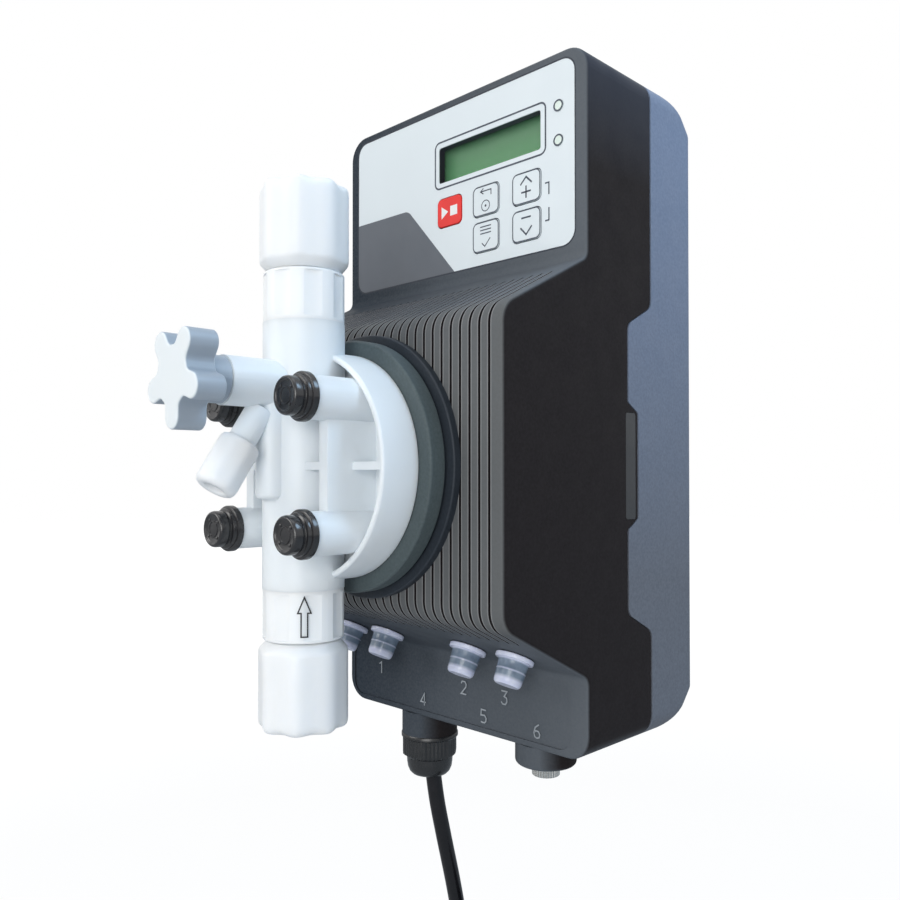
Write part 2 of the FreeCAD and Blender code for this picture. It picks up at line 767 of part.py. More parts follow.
def make_front_cover():
    cover = new_body("FrontCover")
    side = outline(new_sketch(cover, "YZ_Plane", "-case_width / 2"), cover_outline())
    pad(cover, side, "case_width")
    round_edges(cover, "case_corner_r", at_case_corner)
    rim = value("panel_depth")
    round_edges(cover, "case_edge_r", lambda edge: at_rim(edge, rim))
    inside = new_sketch(cover, "YZ_Plane", "-(case_width / 2 - case_wall)")
    outline(inside, cover_inside())
    pocket(cover, inside, "case_width - 2 * case_wall", flip=True)

    # Posts for the case screws and the display board
    posts = new_sketch(cover, "XY_Plane", "post_back")
    four_corners(posts, "post_x", "-post_height", "post_height", "post_r")
    pad(cover, posts, "panel_depth - case_wall / 2 - post_back")
    board_posts = new_sketch(cover, "XY_Plane", "board_depth")
    four_corners(board_posts, "board_post_x", "board_post_low", "board_post_top",
                 "board_post_r")
    pad(cover, board_posts, "panel_depth - case_wall / 2 - board_depth")
    post_holes = new_sketch(cover, "XY_Plane", "post_back")
    four_corners(post_holes, "post_x", "-post_height", "post_height",
                 "screw_r + screw_gap")
    pocket(cover, post_holes, "screw_grip + 2", flip=True)
    board_holes = new_sketch(cover, "XY_Plane", "board_depth")
    four_corners(board_holes, "board_post_x", "board_post_low", "board_post_top",
                 "board_screw_r + 0.05")
    pocket(cover, board_holes, "panel_depth - case_wall - board_depth", flip=True)

    # Boss of the cable gland and of the measuring socket, under the case
    collar = new_sketch(cover, "XZ_Plane", CASE_TOP)
    pad(cover, circle(collar, "gland_x", "gland_depth", "gland_collar_r"),
        "gland_collar_tall")
    boss = new_sketch(cover, "XZ_Plane", CASE_TOP)
    pad(cover, circle(boss, "meter_x", "meter_depth", "meter_boss_r"),
        "meter_boss_tall")
    meter_end = value("case_height / 2 + meter_boss_tall")
    round_edges(cover, "1.6", lambda edge: edge.BoundBox.YMax < 0.01 - meter_end
                and edge.BoundBox.XMin > 0)
    gland_hole = new_sketch(cover, "XZ_Plane", "case_height / 2 + gland_collar_tall")
    pocket(cover, circle(gland_hole, "gland_x", "gland_depth",
                         "gland_thread_r + 0.1"),
           "gland_collar_tall + case_wall + 1")
    meter_hole = new_sketch(cover, "XZ_Plane", "case_height / 2 + meter_boss_tall")
    pocket(cover, circle(meter_hole, "meter_x", "meter_depth", "meter_r + meter_shoulder + 0.1"),
           "meter_boss_tall + case_wall + 1")

    # Seat of the label, its openings, and the shallow field of the lower panel
    label = new_sketch(cover, "XY_Plane", "panel_depth")
    rectangle(label, "0", LABEL_MIDDLE, "label_width + 2 * label_gap",
              LABEL_TALL + " + 2 * label_gap", "label_r + label_gap")
    pocket(cover, label, "label_thick")
    openings = panel_openings(new_sketch(cover, "XY_Plane", "panel_depth"), "key_gap")
    pocket(cover, openings, "case_wall + 0.5")
    field = new_sketch(cover, "XY_Plane", "panel_depth")
    rectangle(field, "lower_recess_x", LOWER_MIDDLE, "lower_recess_width", LOWER_TALL,
              "label_r")
    pocket(cover, field, "lower_recess_deep")

    # Holes of the hump: the drive's nose and the four head screws
    nose = new_sketch(cover, "XY_Plane", "hump_depth", up="drive_height")
    circle(nose, "0", "0", "nose_r")
    bolt_holes(nose, "bolt_r + bolt_gap")
    pocket(cover, nose, "case_wall + 1")

    # Holes of the signal sockets, square to the lower slope
    slope = new_sketch(cover, "XY_Plane", "panel_depth", tilt="90 - slope_tilt",
                       up="lower_foot")
    for x in SOCKETS:
        circle(slope, x, "socket_along", "socket_r + 0.1")
    pocket(cover, slope, "case_wall + 1")

    # Bare recess in the right side
    plate = new_sketch(cover, "YZ_Plane", "case_width / 2")
    plate_outline(plate, "0.15")
    pocket(cover, plate, "plate_thick")

    # Grooves between the ribs
    first = "-((rib_count - 1) * rib_pitch + rib_gap) / 2"
    groove = outline(new_sketch(cover, "YZ_Plane", first), rib_groove())
    ribs = pocket(cover, groove, "rib_gap", flip=True)
    pattern = cover.newObject("PartDesign::LinearPattern", "Ribs")
    pattern.Originals = [ribs]
    pattern.Direction = (origin_item(cover, "X_Axis"), [""])
    bind(pattern, Length="(rib_count - 1) * rib_pitch", Occurrences="rib_count")
    cover.Tip = pattern
    on_front(cover)
    return keep(cover, "front_cover")


def plate_outline(sketch, gap):
    """The small plate in the tab of the cover's side."""
    tall = "(tab_top - tab_bottom + 2 * %s)" % gap
    deep = "(plate_front - tab_depth - 1.2 + 2 * %s)" % gap
    return rectangle(sketch, "(tab_top + tab_bottom) / 2",
                     "(plate_front + tab_depth + 1.2) / 2", tall, deep, "1 + " + gap)


def make_side_plate():
    plate = new_body("SidePlate")
    sketch = plate_outline(new_sketch(plate, "YZ_Plane", "case_width / 2"), "0")
    pad(plate, sketch, "plate_thick", flip=True)
    on_front(plate)
    return keep(plate, "side_plate")


def housing_inside():
    """The hollow of the housing, with its slanting back corners."""
    flat = "(back_flat - case_wall / 2)"
    shoulder = "(back_shoulder + case_wall / 4)"
    mouth = "split_mid + 1"
    return [
        ("-" + INNER_TOP, mouth), ("-" + INNER_TOP, shoulder, "back_r - case_wall"),
        ("-" + flat, "case_wall", "1"), (flat, "case_wall", "1"),
        (INNER_TOP, shoulder, "back_r - case_wall"), (INNER_TOP, mouth),
    ]


def outside_back_corner(side):
    """What lies behind the slanting back corner at one end of the housing."""
    top, past = side + CASE_TOP, side + "(case_height / 2 + 1)"
    flat = side + "back_flat"
    return [
        (flat, "0"), (top, "back_shoulder", "back_r"),
        (top, "split_depth - seam"), (past, "split_depth - seam"),
        (past, "-1"), (flat, "-1"),
    ]


def make_rear_housing():
    housing = new_body("RearHousing")
    front = [("-" + CASE_TOP, "split_depth - seam")] + split_line("seam")
    front = front + [(CASE_TOP, "split_depth - seam"), (CASE_TOP, "0")]
    side = new_sketch(housing, "YZ_Plane", "-case_width / 2")
    outline(side, [("-" + CASE_TOP, "0")] + front)
    pad(housing, side, "case_width")
    round_edges(housing, "case_corner_r", at_case_corner)
    round_edges(housing, "back_edge_r", lambda edge: edge.BoundBox.ZMax < 0.01)
    inside = new_sketch(housing, "YZ_Plane", "-(case_width / 2 - case_wall)")
    outline(inside, housing_inside())
    pocket(housing, inside, "case_width - 2 * case_wall", flip=True)

    # Tubes around the case screws and solid bosses of the wall inserts
    tubes = new_sketch(housing, "XY_Plane", "post_back - 0.4")
    four_corners(tubes, "post_x", "-post_height", "post_height", "post_r")
    pad(housing, tubes, "post_back - 0.4 - case_wall / 2", flip=True)
    inserts = new_sketch(housing, "XY_Plane", "insert_deep + insert_floor")
    four_corners(inserts, "insert_x", "-insert_height", "insert_height", "insert_r")
    pad(housing, inserts, "insert_deep + insert_floor - case_wall / 2", flip=True)
    board_feet = new_sketch(housing, "XY_Plane", "power_depth")
    four_corners(board_feet, "board_post_x", "power_bottom + 4", "power_top - 4",
                 "board_post_r")
    pad(housing, board_feet, "power_depth - case_wall / 2", flip=True)

    # Slanting back corners, which also trim the screw tubes
    for end in ("-", ""):
        corner = new_sketch(housing, "YZ_Plane", "-case_width / 2 - 1")
        outline(corner, outside_back_corner(end))
        pocket(housing, corner, "case_width + 2", flip=True)

    # Screw holes from the back, with sunk heads, and the threaded insert holes
    holes = new_sketch(housing, "XY_Plane", "0")
    four_corners(holes, "post_x", "-post_height", "post_height",
                 "screw_r + screw_gap")
    pocket(housing, holes, "post_back + 1", flip=True)
    heads = new_sketch(housing, "XY_Plane", "0")
    four_corners(heads, "post_x", "-post_height", "post_height",
                 "screw_head_r + screw_gap")
    pocket(housing, heads, "post_back - 6", flip=True)
    threads = new_sketch(housing, "XY_Plane", "0")
    four_corners(threads, "insert_x", "-insert_height", "insert_height",
                 "insert_hole_r")
    pocket(housing, threads, "insert_deep", flip=True)
    board_holes = new_sketch(housing, "XY_Plane", "power_depth")
    four_corners(board_holes, "board_post_x", "power_bottom + 4", "power_top - 4",
                 "board_screw_r + 0.05")
    pocket(housing, board_holes, "8")
    on_front(housing)
    return keep(housing, "rear_housing")


def make_gasket():
    """A rubber frame that fills the seam, a little inside the outer faces."""
    gasket = new_body("Gasket")
    front, back = split_line(), split_line("seam")
    side = new_sketch(gasket, "YZ_Plane", "-(case_width / 2 - gasket_inset)")
    end = "(case_height / 2 - gasket_inset)"
    outline(side, [("-" + end, "split_depth")] + front
            + [(end, "split_depth"), (end, "split_depth - seam")]
            + back[::-1] + [("-" + end, "split_depth - seam")])
    pad(gasket, side, "case_width - 2 * gasket_inset")
    round_edges(gasket, "case_corner_r - gasket_inset", at_gasket_corner)
    middle = new_sketch(gasket, "XY_Plane", "split_mid + 1")
    rectangle(middle, "0", "0", "case_width - 2 * case_wall",
              "case_height - 2 * case_wall", "case_corner_r - case_wall")
    pocket(gasket, middle, "split_mid + 1")
    on_front(gasket)
    return keep(gasket, "housing_gasket")


def at_gasket_corner(edge):
    box = edge.BoundBox
    end = value("case_height / 2 - gasket_inset")
    along = box.ZMax - box.ZMin
    at_end = min(abs(box.YMin), abs(box.YMax)) > end - 0.01
    return at_end and along > value("seam") - 0.01 and box.XMax - box.XMin < 0.01


def make_case_screws():
    """Four screws from the back into the cover's posts, heads sunk in tubes."""
    screws = new_body("CaseScrews")
    seat = "(post_back - 6)"
    head = new_sketch(screws, "XY_Plane", seat)
    four_corners(head, "post_x", "-post_height", "post_height", "screw_head_r")
    pad(screws, head, "screw_head_tall", flip=True)
    shank = new_sketch(screws, "XY_Plane", seat)
    four_corners(shank, "post_x", "-post_height", "post_height", "screw_r")
    pad(screws, shank, "screw_grip + 6")
    on_front(screws)
    return keep(screws, "case_screws")


# Label, display, keys and boards


def make_label():
    label = new_body("Label")
    sheet_outline = new_sketch(label, "XY_Plane", "panel_depth - label_thick")
    rectangle(sheet_outline, "0", LABEL_MIDDLE, "label_width", LABEL_TALL, "label_r")
    panel_openings(sheet_outline, "key_gap")
    pad(label, sheet_outline, "label_thick")
    on_front(label)
    return keep(label, "label_overlay")


def make_lens():
    lens = new_body("Lens")
    back = "(panel_depth - case_wall - lens_thick)"
    sketch = new_sketch(lens, "XY_Plane", back)
    rectangle(sketch, "lcd_x", "lcd_height", "lcd_width + 2 * lens_lip",
              "lcd_tall + 2 * lens_lip")
    pad(lens, sketch, "lens_thick")
    on_front(lens)
    return keep(lens, "lcd_window")


def make_display():
    module = new_body("DisplayModule")
    front = "(panel_depth - case_wall - lens_thick - lens_gap)"
    sketch = new_sketch(module, "XY_Plane", front)
    rectangle(sketch, "lcd_x", "lcd_height", "lcd_width + 6", "lcd_tall + 6", "1")
    pad(module, sketch, "lcd_thick", flip=True)
    on_front(module)
    return keep(module, "lcd_module")


def make_key(label, x, height):
    key = new_body(label.replace("_", ""))
    back = "(panel_depth + key_rise - key_thick)"
    cap = new_sketch(key, "XY_Plane", back)
    pad(key, rectangle(cap, "0", "0", "key_size", "key_tall", "key_r"), "key_thick")
    front = value("panel_depth + key_rise")
    round_edges(key, "key_rise", lambda edge: edge.BoundBox.ZMin > front - 0.01)
    flange = new_sketch(key, "XY_Plane", back)
    rectangle(flange, "0", "0", "key_size + 2 * key_flange",
              "key_tall + 2 * key_flange", "key_r")
    pad(key, flange, "key_flange_thick")
    stem = new_sketch(key, "XY_Plane", back)
    pad(key, circle(stem, "0", "0", "stem_r"), back + " - " + SWITCH_TOP
        + " - key_travel - 0.1", flip=True)
    on_front(key, x, height)
    return keep(key, label)


SWITCH_TOP = "(board_depth + 3.4)"


def make_led_lenses():
    lenses = new_body("LampLenses")
    sketch = new_sketch(lenses, "XY_Plane", "panel_depth - case_wall")
    for height in ("led_top", "led_low"):
        circle(sketch, "led_x", height, "led_r")
    pad(lenses, sketch, "case_wall + 0.2")
    on_front(lenses)
    return keep(lenses, "lamp_lenses")


def make_display_board():
    """Board with its key switches and lamps, screwed to the cover's posts."""
    board = new_body("DisplayBoard")
    sketch = new_sketch(board, "XY_Plane", "board_depth - board_thick")
    rectangle(sketch, "0", "(board_bottom + board_top) / 2", "board_width",
              "board_top - board_bottom", "2")
    four_corners(sketch, "board_post_x", "board_post_low", "board_post_top",
                 "board_screw_r + 0.15")
    pad(board, sketch, "board_thick")
    switches = new_sketch(board, "XY_Plane", "board_depth")
    for name, x, height in KEYS:
        rectangle(switches, x, height, "switch_size", "switch_size", "0.5")
    pad(board, switches, SWITCH_TOP + " - board_depth")
    lamps = new_sketch(board, "XY_Plane", "board_depth")
    for height in ("led_top", "led_low"):
        circle(lamps, "led_x", height, "1.5")
    pad(board, lamps, "panel_depth - case_wall - board_depth - 0.3")
    carrier = new_sketch(board, "XY_Plane", "board_depth")
    rectangle(carrier, "lcd_x", "lcd_height", "lcd_width - 4", "lcd_tall - 3")
    pad(board, carrier, "panel_depth - case_wall - lens_thick - lens_gap"
        " - lcd_thick - board_depth")
    on_front(board)
    return keep(board, "display_board")


def make_power_board():
    """Mains board with its larger components, on four feet of the housing."""
    board = new_body("PowerBoard")
    sketch = new_sketch(board, "XY_Plane", "power_depth")
    rectangle(sketch, "0", "(power_bottom + power_top) / 2", "power_width",
              "power_top - power_bottom", "2")
    four_corners(sketch, "board_post_x", "power_bottom + 4", "power_top - 4",
                 "board_screw_r + 0.15")
    pad(board, sketch, "board_thick")
    top = "power_depth + board_thick"
    transformer = new_sketch(board, "XY_Plane", top)
    rectangle(transformer, "-16", "72", "30", "26", "1")
    pad(board, transformer, "20")
    capacitors = new_sketch(board, "XY_Plane", top)
    for x in ("12", "26"):
        circle(capacitors, x, "78", "6")
    pad(board, capacitors, "18")
    terminals = new_sketch(board, "XY_Plane", top)
    rectangle(terminals, "0", "48", "46", "10", "0.5")
    pad(board, terminals, "11")
    on_front(board)
    return keep(board, "power_board")


def make_board_screws():
    """Small screws of both boards."""
    screws = new_body("BoardScrews")
    head_rows = [
        ("board_depth - board_thick", "board_post_low", "board_post_top", True),
        ("power_depth + board_thick", "power_bottom + 4", "power_top - 4", False),
    ]
    for level, low, high, from_back in head_rows:
        head = new_sketch(screws, "XY_Plane", level)
        four_corners(head, "board_post_x", low, high, "board_screw_head_r")
        pad(screws, head, "1.6", flip=from_back)
        shank = new_sketch(screws, "XY_Plane", level)
        four_corners(shank, "board_post_x", low, high, "board_screw_r")
        pad(screws, shank, "board_thick + 6", flip=not from_back)
    on_front(screws)
    return keep(screws, "board_screws")


# Drive: solenoid, armature, push rod and diaphragm

CAN_FRONT = "(hump_depth - case_wall)"
CORE_FRONT = "(%s - can_front_thick)" % CAN_FRONT
CORE_BACK = "(%s - core_long)" % CORE_FRONT
CAN_FLOOR_TOP = "(can_back + can_floor)"
ARMATURE_FRONT = "(%s - air_gap)" % CORE_BACK
SPRING_SEAT = "(%s + spring_seat_deep)" % CORE_BACK
COLLAR_FRONT = "(hump_depth + collar_thick)"
RING_BACK = "(%s + collar_neck_thick)" % COLLAR_FRONT
HEAD_BACK = "(%s + ring_thick)" % RING_BACK
DIAPHRAGM_BACK = "(%s - diaphragm_thick)" % HEAD_BACK
HEAD_FRONT = "(%s + head_thick)" % HEAD_BACK


def make_drive():
    on_axis = {"height": "drive_height"}
    can = turned("SolenoidCan", [
        ("rod_r + 3", "can_back"), ("can_r", "can_back", "1.5"),
        ("can_r", CAN_FRONT), ("core_r", CAN_FRONT), ("core_r", CORE_FRONT),
        ("can_r - can_wall", CORE_FRONT), ("can_r - can_wall", CAN_FLOOR_TOP),
        ("rod_r + 3", CAN_FLOOR_TOP)])
    threads = new_sketch(can, "XY_Plane", CAN_FRONT)
    bolt_holes(threads, "bolt_r + 0.05")
    pocket(can, threads, "can_front_thick - 0.4")
    on_front(can, **on_axis)
    keep(can, "solenoid_can")

    core = turned("PoleCore", [
        ("spring_seat_r", CORE_BACK), ("core_r - 0.05", CORE_BACK),
        ("core_r - 0.05", CAN_FRONT), ("bush_r + 0.05", CAN_FRONT),
        ("bush_r + 0.05", CAN_FRONT + " - bush_long"),
        ("rod_r + 0.5", CAN_FRONT + " - bush_long"), ("rod_r + 0.5", SPRING_SEAT),
        ("spring_seat_r", SPRING_SEAT)])
    on_front(core, **on_axis)
    keep(core, "pole_core")

    bush = tube("RodBush", "rod_r + slide_gap", "bush_r",
                CAN_FRONT + " - bush_long", CAN_FRONT)
    on_front(bush, **on_axis)
    keep(bush, "rod_bush")

    low, high = CAN_FLOOR_TOP, CORE_FRONT
    inner, outer = "core_r + 0.2", "winding_r"
    bobbin = turned("CoilBobbin", [
        (inner, low), (outer, low), (outer, low + " + bobbin_flange"),
        (inner + " + bobbin_wall", low + " + bobbin_flange"),
        (inner + " + bobbin_wall", high + " - bobbin_flange"),
        (outer, high + " - bobbin_flange"), (outer, high), (inner, high)])
    on_front(bobbin, **on_axis)
    keep(bobbin, "coil_bobbin")

    winding = tube("Winding", inner + " + bobbin_wall", "winding_r - 0.6",
                   low + " + bobbin_flange", high + " - bobbin_flange")
    on_front(winding, **on_axis)
    keep(winding, "coil_winding")

    armature = tube("Armature", "rod_r", "core_r + 0.2 - armature_gap",
                    CAN_FLOOR_TOP + " + armature_back_gap", ARMATURE_FRONT)
    on_front(armature, **on_axis)
    keep(armature, "armature")

    rod = turned("PushRod", [
        ("0", CAN_FLOOR_TOP + " + armature_back_gap"),
        ("rod_r", CAN_FLOOR_TOP + " + armature_back_gap"),
        ("rod_r", DIAPHRAGM_BACK + " + 0.2"), ("0", DIAPHRAGM_BACK + " + 0.2")])
    on_front(rod, **on_axis)
    keep(rod, "push_rod")

    hub = turned("DiaphragmHub", [
        ("0", DIAPHRAGM_BACK + " + 0.2"), ("hub_r", DIAPHRAGM_BACK + " + 0.2"),
        ("hub_r", DIAPHRAGM_BACK + " + 0.2 + hub_thick", "0.6"),
        ("0", DIAPHRAGM_BACK + " + 0.2 + hub_thick")])
    on_front(hub, **on_axis)
    keep(hub, "diaphragm_hub")

    diaphragm = turned("Diaphragm", [
        ("membrane_hub_r", DIAPHRAGM_BACK + " + 0.6"),
        ("ring_bore_r", DIAPHRAGM_BACK + " + 0.6"),
        ("ring_bore_r + 1", DIAPHRAGM_BACK), ("diaphragm_r", DIAPHRAGM_BACK),
        ("diaphragm_r", HEAD_BACK), ("chamber_r + 1", HEAD_BACK),
        ("chamber_r", HEAD_BACK + " - 0.6"),
        ("membrane_hub_r", HEAD_BACK + " - 0.6")])
    on_front(diaphragm, **on_axis)
    keep(diaphragm, "diaphragm")
    make_spring()


def make_spring():
    """Return spring between the pole core's seat and the armature."""
    spring = new_body("ReturnSpring")
    low = "(%s + spring_wire_r + 0.05)" % ARMATURE_FRONT
    high = "(%s - spring_wire_r - 0.05)" % SPRING_SEAT
    section = new_sketch(spring, "XZ_Plane")
    circle(section, "spring_r", low, "spring_wire_r")
    helix = spring.newObject("PartDesign::AdditiveHelix", "SpringHelix")
    helix.Profile = section
    helix.ReferenceAxis = (section, ["V_Axis"])
    helix.Mode = 2
    bind(helix, Height="%s - %s" % (high, low), Turns="spring_turns")
    on_front(spring, height="drive_height")
    keep(spring, "return_spring")


def make_rings():
    """Collar on the hump and the ring that clamps the diaphragm's rim."""
    nose = "nose_r - nose_gap"
    collar = turned("MountCollar", [
        ("nose_r - 8", CAN_FRONT), (nose, CAN_FRONT), (nose, "hump_depth"),
        ("collar_r", "hump_depth"), ("collar_r", COLLAR_FRONT, "0.6"),
        ("collar_neck_r", COLLAR_FRONT), ("collar_neck_r", RING_BACK),
        ("nose_r - 8", RING_BACK)])
    holes = new_sketch(collar, "XY_Plane", RING_BACK)
    bolt_holes(holes, "bolt_r + bolt_gap")
    pocket(collar, holes, RING_BACK + " - %s" % CAN_FRONT)
    on_front(collar, height="drive_height")
    keep(collar, "mount_collar")

    ring = turned("DiaphragmRing", [
        ("ring_bore_r", RING_BACK), ("ring_r", RING_BACK, "ring_edge"),
        ("ring_r", HEAD_BACK, "ring_edge"), ("diaphragm_r + 0.05", HEAD_BACK),
        ("diaphragm_r + 0.05", DIAPHRAGM_BACK), ("ring_bore_r", DIAPHRAGM_BACK)])
    holes = new_sketch(ring, "XY_Plane", HEAD_BACK)
    bolt_holes(holes, "bolt_r + bolt_gap")
    pocket(ring, holes, "ring_thick")
    on_front(ring, height="drive_height")
    keep(ring, "diaphragm_ring")


# Pump head, in its own frame: x right, y up from the drive axis, z out of the wall

HEAD_FLOOR = "(%s + head_floor)" % HEAD_BACK


def raise_y(height):
    """A height of the case as a height above the drive axis."""
    return "(%s - drive_height)" % height


def make_pump_head():
    head = new_body("PumpHead")
    turn_about(head, outline(new_sketch(head, "XZ_Plane"), [
        ("0", HEAD_BACK), ("head_r_out", HEAD_BACK, "0.6"),
        ("head_r_out", HEAD_FRONT, "head_rim / 2 - 0.05"),
        ("head_r_out - head_rim", HEAD_FRONT, "head_rim / 2 - 0.05"),
        ("head_r_out - head_rim", HEAD_FLOOR, "2"), ("0", HEAD_FLOOR)]))

    # Screw bosses, the walls between them and the level web
    bosses = new_sketch(head, "XY_Plane", HEAD_BACK + " + 1")
    bolt_holes(bosses, "boss_r")
    pad(head, bosses, "boss_face - %s - 1" % HEAD_BACK)
    reach = "bolt_circle_r * cos(45)"
    walls = new_sketch(head, "XY_Plane", HEAD_BACK + " + 1")
    for side in ("-", ""):
        rectangle(walls, side + reach, "0", "side_wall_thick", "2 * " + reach)
    pad(head, walls, "web_front - %s - 1" % HEAD_BACK)
    inner_web = new_sketch(head, "XY_Plane", HEAD_BACK + " + 1")
    rectangle(inner_web, "0", "0", "2 * " + reach, "web_thick")
    pad(head, inner_web, "web_front - %s - 1" % HEAD_BACK)
    outer_web = new_sketch(head, "XY_Plane", HEAD_BACK + " + 1")
    rectangle(outer_web, "0", "0", "2 * head_r_out - head_rim", "web_thick")
    pad(head, outer_web, "head_thick - 1.6")

    # Upright valve column, bleed stub and the bar below it
    column = new_sketch(head, "XZ_Plane", "-" + raise_y("column_top"))
    pad(head, circle(column, "0", "column_depth", "column_r"),
        "column_top - column_bottom")
    bar = new_sketch(head, "XZ_Plane", "-" + raise_y("stub_height"))
    pad(head, circle(bar, "0", "post_axis", "post_bar_r"),
        "stub_height - post_bar_bottom")
    bar_end = value("post_bar_bottom - drive_height")
    round_edges(head, "1.2", lambda edge: abs(edge.BoundBox.YMin - bar_end) < 0.01
                and edge.BoundBox.YMax - edge.BoundBox.YMin < 0.01)
    stub = new_sketch(head, "XY_Plane", "column_depth", up=raise_y("stub_height"))
    pad(head, circle(stub, "0", "0", "stub_r"), "stub_face - column_depth")

    # Bleed nozzle, square to a sketch plane that leans forward and down
    nozzle = new_sketch(head, "XY_Plane", "nozzle_root", tilt="nozzle_tilt",
                        up=raise_y("nozzle_root_height"))
    pad(head, circle(nozzle, "0", "0", "nozzle_r"), "nozzle_long")

    # Bores: chamber, valves, ports, bleed spindle, nozzle and screws
    chamber = new_sketch(head, "XY_Plane", HEAD_BACK)
    pocket(head, circle(chamber, "0", "0", "chamber_r"), "chamber_deep", flip=True)
    for end, downward in (("column_top", True), ("column_bottom", False)):
        bore = new_sketch(head, "XZ_Plane", "-" + raise_y(end))
        pocket(head, circle(bore, "0", "column_depth", "valve_bore_r"),
               "valve_bore_deep", flip=downward)
    ports = new_sketch(head, "XY_Plane", HEAD_BACK)
    for height in (PORT_TOP, PORT_LOW):
        circle(ports, "0", raise_y(height), "port_r")
    pocket(head, ports, "column_depth - %s" % HEAD_BACK, flip=True)
    for low, high in ((PORT_TOP, "column_top - valve_bore_deep"),
                      ("column_bottom + valve_bore_deep", PORT_LOW)):
        rise = new_sketch(head, "XZ_Plane", "-" + raise_y(high))
        circle(rise, "0", "column_depth", "port_r")
        pocket(head, rise, "%s - (%s) + 0.5" % (high, low), flip=True)
    bleed = new_sketch(head, "XY_Plane", "stub_face", up=raise_y("stub_height"))
    pocket(head, circle(bleed, "0", "0", "spindle_bore_r"),
           "stub_face - spindle_start + 0.3")
    passage = new_sketch(head, "XY_Plane", "spindle_start", up=raise_y("stub_height"))
    pocket(head, circle(passage, "0", "0", "nozzle_bore_r"),
           "spindle_start - column_depth")
    for length, outward in (("nozzle_long", True), ("nozzle_back", False)):
        mouth = new_sketch(head, "XY_Plane", "nozzle_root", tilt="nozzle_tilt",
                           up=raise_y("nozzle_root_height"))
        pocket(head, circle(mouth, "0", "0", "nozzle_bore_r"), length, flip=outward)
    screws = new_sketch(head, "XY_Plane", "boss_face")
    bolt_holes(screws, "bolt_r + bolt_gap")
    pocket(head, screws, "boss_face - %s + 1" % HEAD_BACK)
    on_front(head, height="drive_height")
    return keep(head, "pump_head")


PORT_TOP = "(drive_height + 10)"
PORT_LOW = "(drive_height - 10)"


def make_head_screws():
    """Screw, washer face and plastic cap at each corner of the head."""
    corner = ("bolt_circle_r * cos(45)", "bolt_circle_r * sin(45)")
    screws = new_body("HeadScrews")
    shank = new_sketch(screws, "XY_Plane", "boss_face")
    circle(shank, *corner, "bolt_r")
    long = pad(screws, shank, "boss_face - %s - 0.6" % CORE_FRONT, flip=True)
    cap_screw = new_sketch(screws, "XY_Plane", "boss_face")
    circle(cap_screw, *corner, "bolt_head_r")
    head = pad(screws, cap_screw, "bolt_head_tall")
    repeat_round(screws, [long, head], "4")
    on_front(screws, height="drive_height")
    keep(screws, "head_screws")

    caps = new_body("ScrewCaps")
    levels = [
        ("cap_flange_r", "0", "cap_flange_thick"),
        ("cap_step_r", "cap_flange_thick", "cap_step_thick"),
        ("cap_neck_r", "cap_flange_thick + cap_step_thick", "1"),
        ("cap_head_r", "cap_flange_thick + cap_step_thick + 0.6",
         "cap_tall - cap_flange_thick - cap_step_thick - 0.6"),
    ]
    made = []
    for radius, low, tall in levels:
        step = new_sketch(caps, "XY_Plane", "boss_face + " + low)
        made.append(pad(caps, circle(step, *corner, radius), tall))
    hollow = new_sketch(caps, "XY_Plane", "boss_face")
    circle(hollow, *corner, "bolt_head_r + bolt_gap")
    made.append(pocket(caps, hollow, "bolt_head_tall + 0.2", flip=True))
    repeat_round(caps, made, "4")
    on_front(caps, height="drive_height")
    keep(caps, "screw_caps")


# Valves and tube nuts, each drawn upright about its own Z


def flutes(body, flat, count, low, tall, hollow_r):
    """Shallow hollows around a body, halfway between its lobes."""
    sketch = new_sketch(body, "XY_Plane", low)
    half_turn = "(180 / %s)" % count
    out = "(%s + %s)" % (flat, hollow_r)
    circle(sketch, "%s * cos%s" % (out, half_turn), "%s * sin%s" % (out, half_turn),
           hollow_r)
    repeat_round(body, [pocket(body, sketch, tall, flip=True)], count)


def stand_at_column(thing, height, turn=None):
    place(thing, "0", "-column_depth", height, turn=turn)
    return thing


# The ball's seat above each valve's shoulder. The fluid rises through both.
BALL_FLOOR = {"discharge": "(seat_thick - valve_spigot_tall)", "suction": "0"}
LEVEL = {"discharge": "column_top", "suction": "column_bottom"}
NECK_END = "(valve_tall + valve_neck_tall)"
NUT_START = "(valve_tall + nut_rest_gap)"
NUT_END = "(%s + nut_long)" % NUT_START


def make_valve(side):
    """Valve body with its spigot in the head and its neck for the tube nut."""
    upward = side == "discharge"
    cage_top = BALL_FLOOR[side] + " + cage_tall"
    top, bottom = "valve_spigot_tall", "-" + NECK_END
    if upward:
        top, bottom = NECK_END, "-valve_spigot_tall"
    inner = [("valve_bore", top), ("valve_bore", cage_top), ("cage_r", cage_top),
             ("cage_r", bottom)]
    if upward:
        outer = [("valve_spigot_r", bottom), ("valve_spigot_r", "0"), ("valve_r", "0"),
                 ("valve_r", "valve_tall", "0.5"), ("valve_neck_r", "valve_tall"),
                 ("valve_neck_r", top)]
    else:
        outer = [("valve_neck_r", bottom), ("valve_neck_r", "-valve_tall"),
                 ("valve_r", "-valve_tall", "0.5"), ("valve_r", "0"),
                 ("valve_spigot_r", "0"), ("valve_spigot_r", top)]
    body = turned(side + "Valve", inner + outer)
    start = "1" if upward else "0.8 - valve_tall"
    flutes(body, "(valve_r - valve_flute)", "nut_lobes", start, "valve_tall - 1.8",
           "14")
    stand_at_column(body, LEVEL[side])
    keep(body, side + "_valve_body")


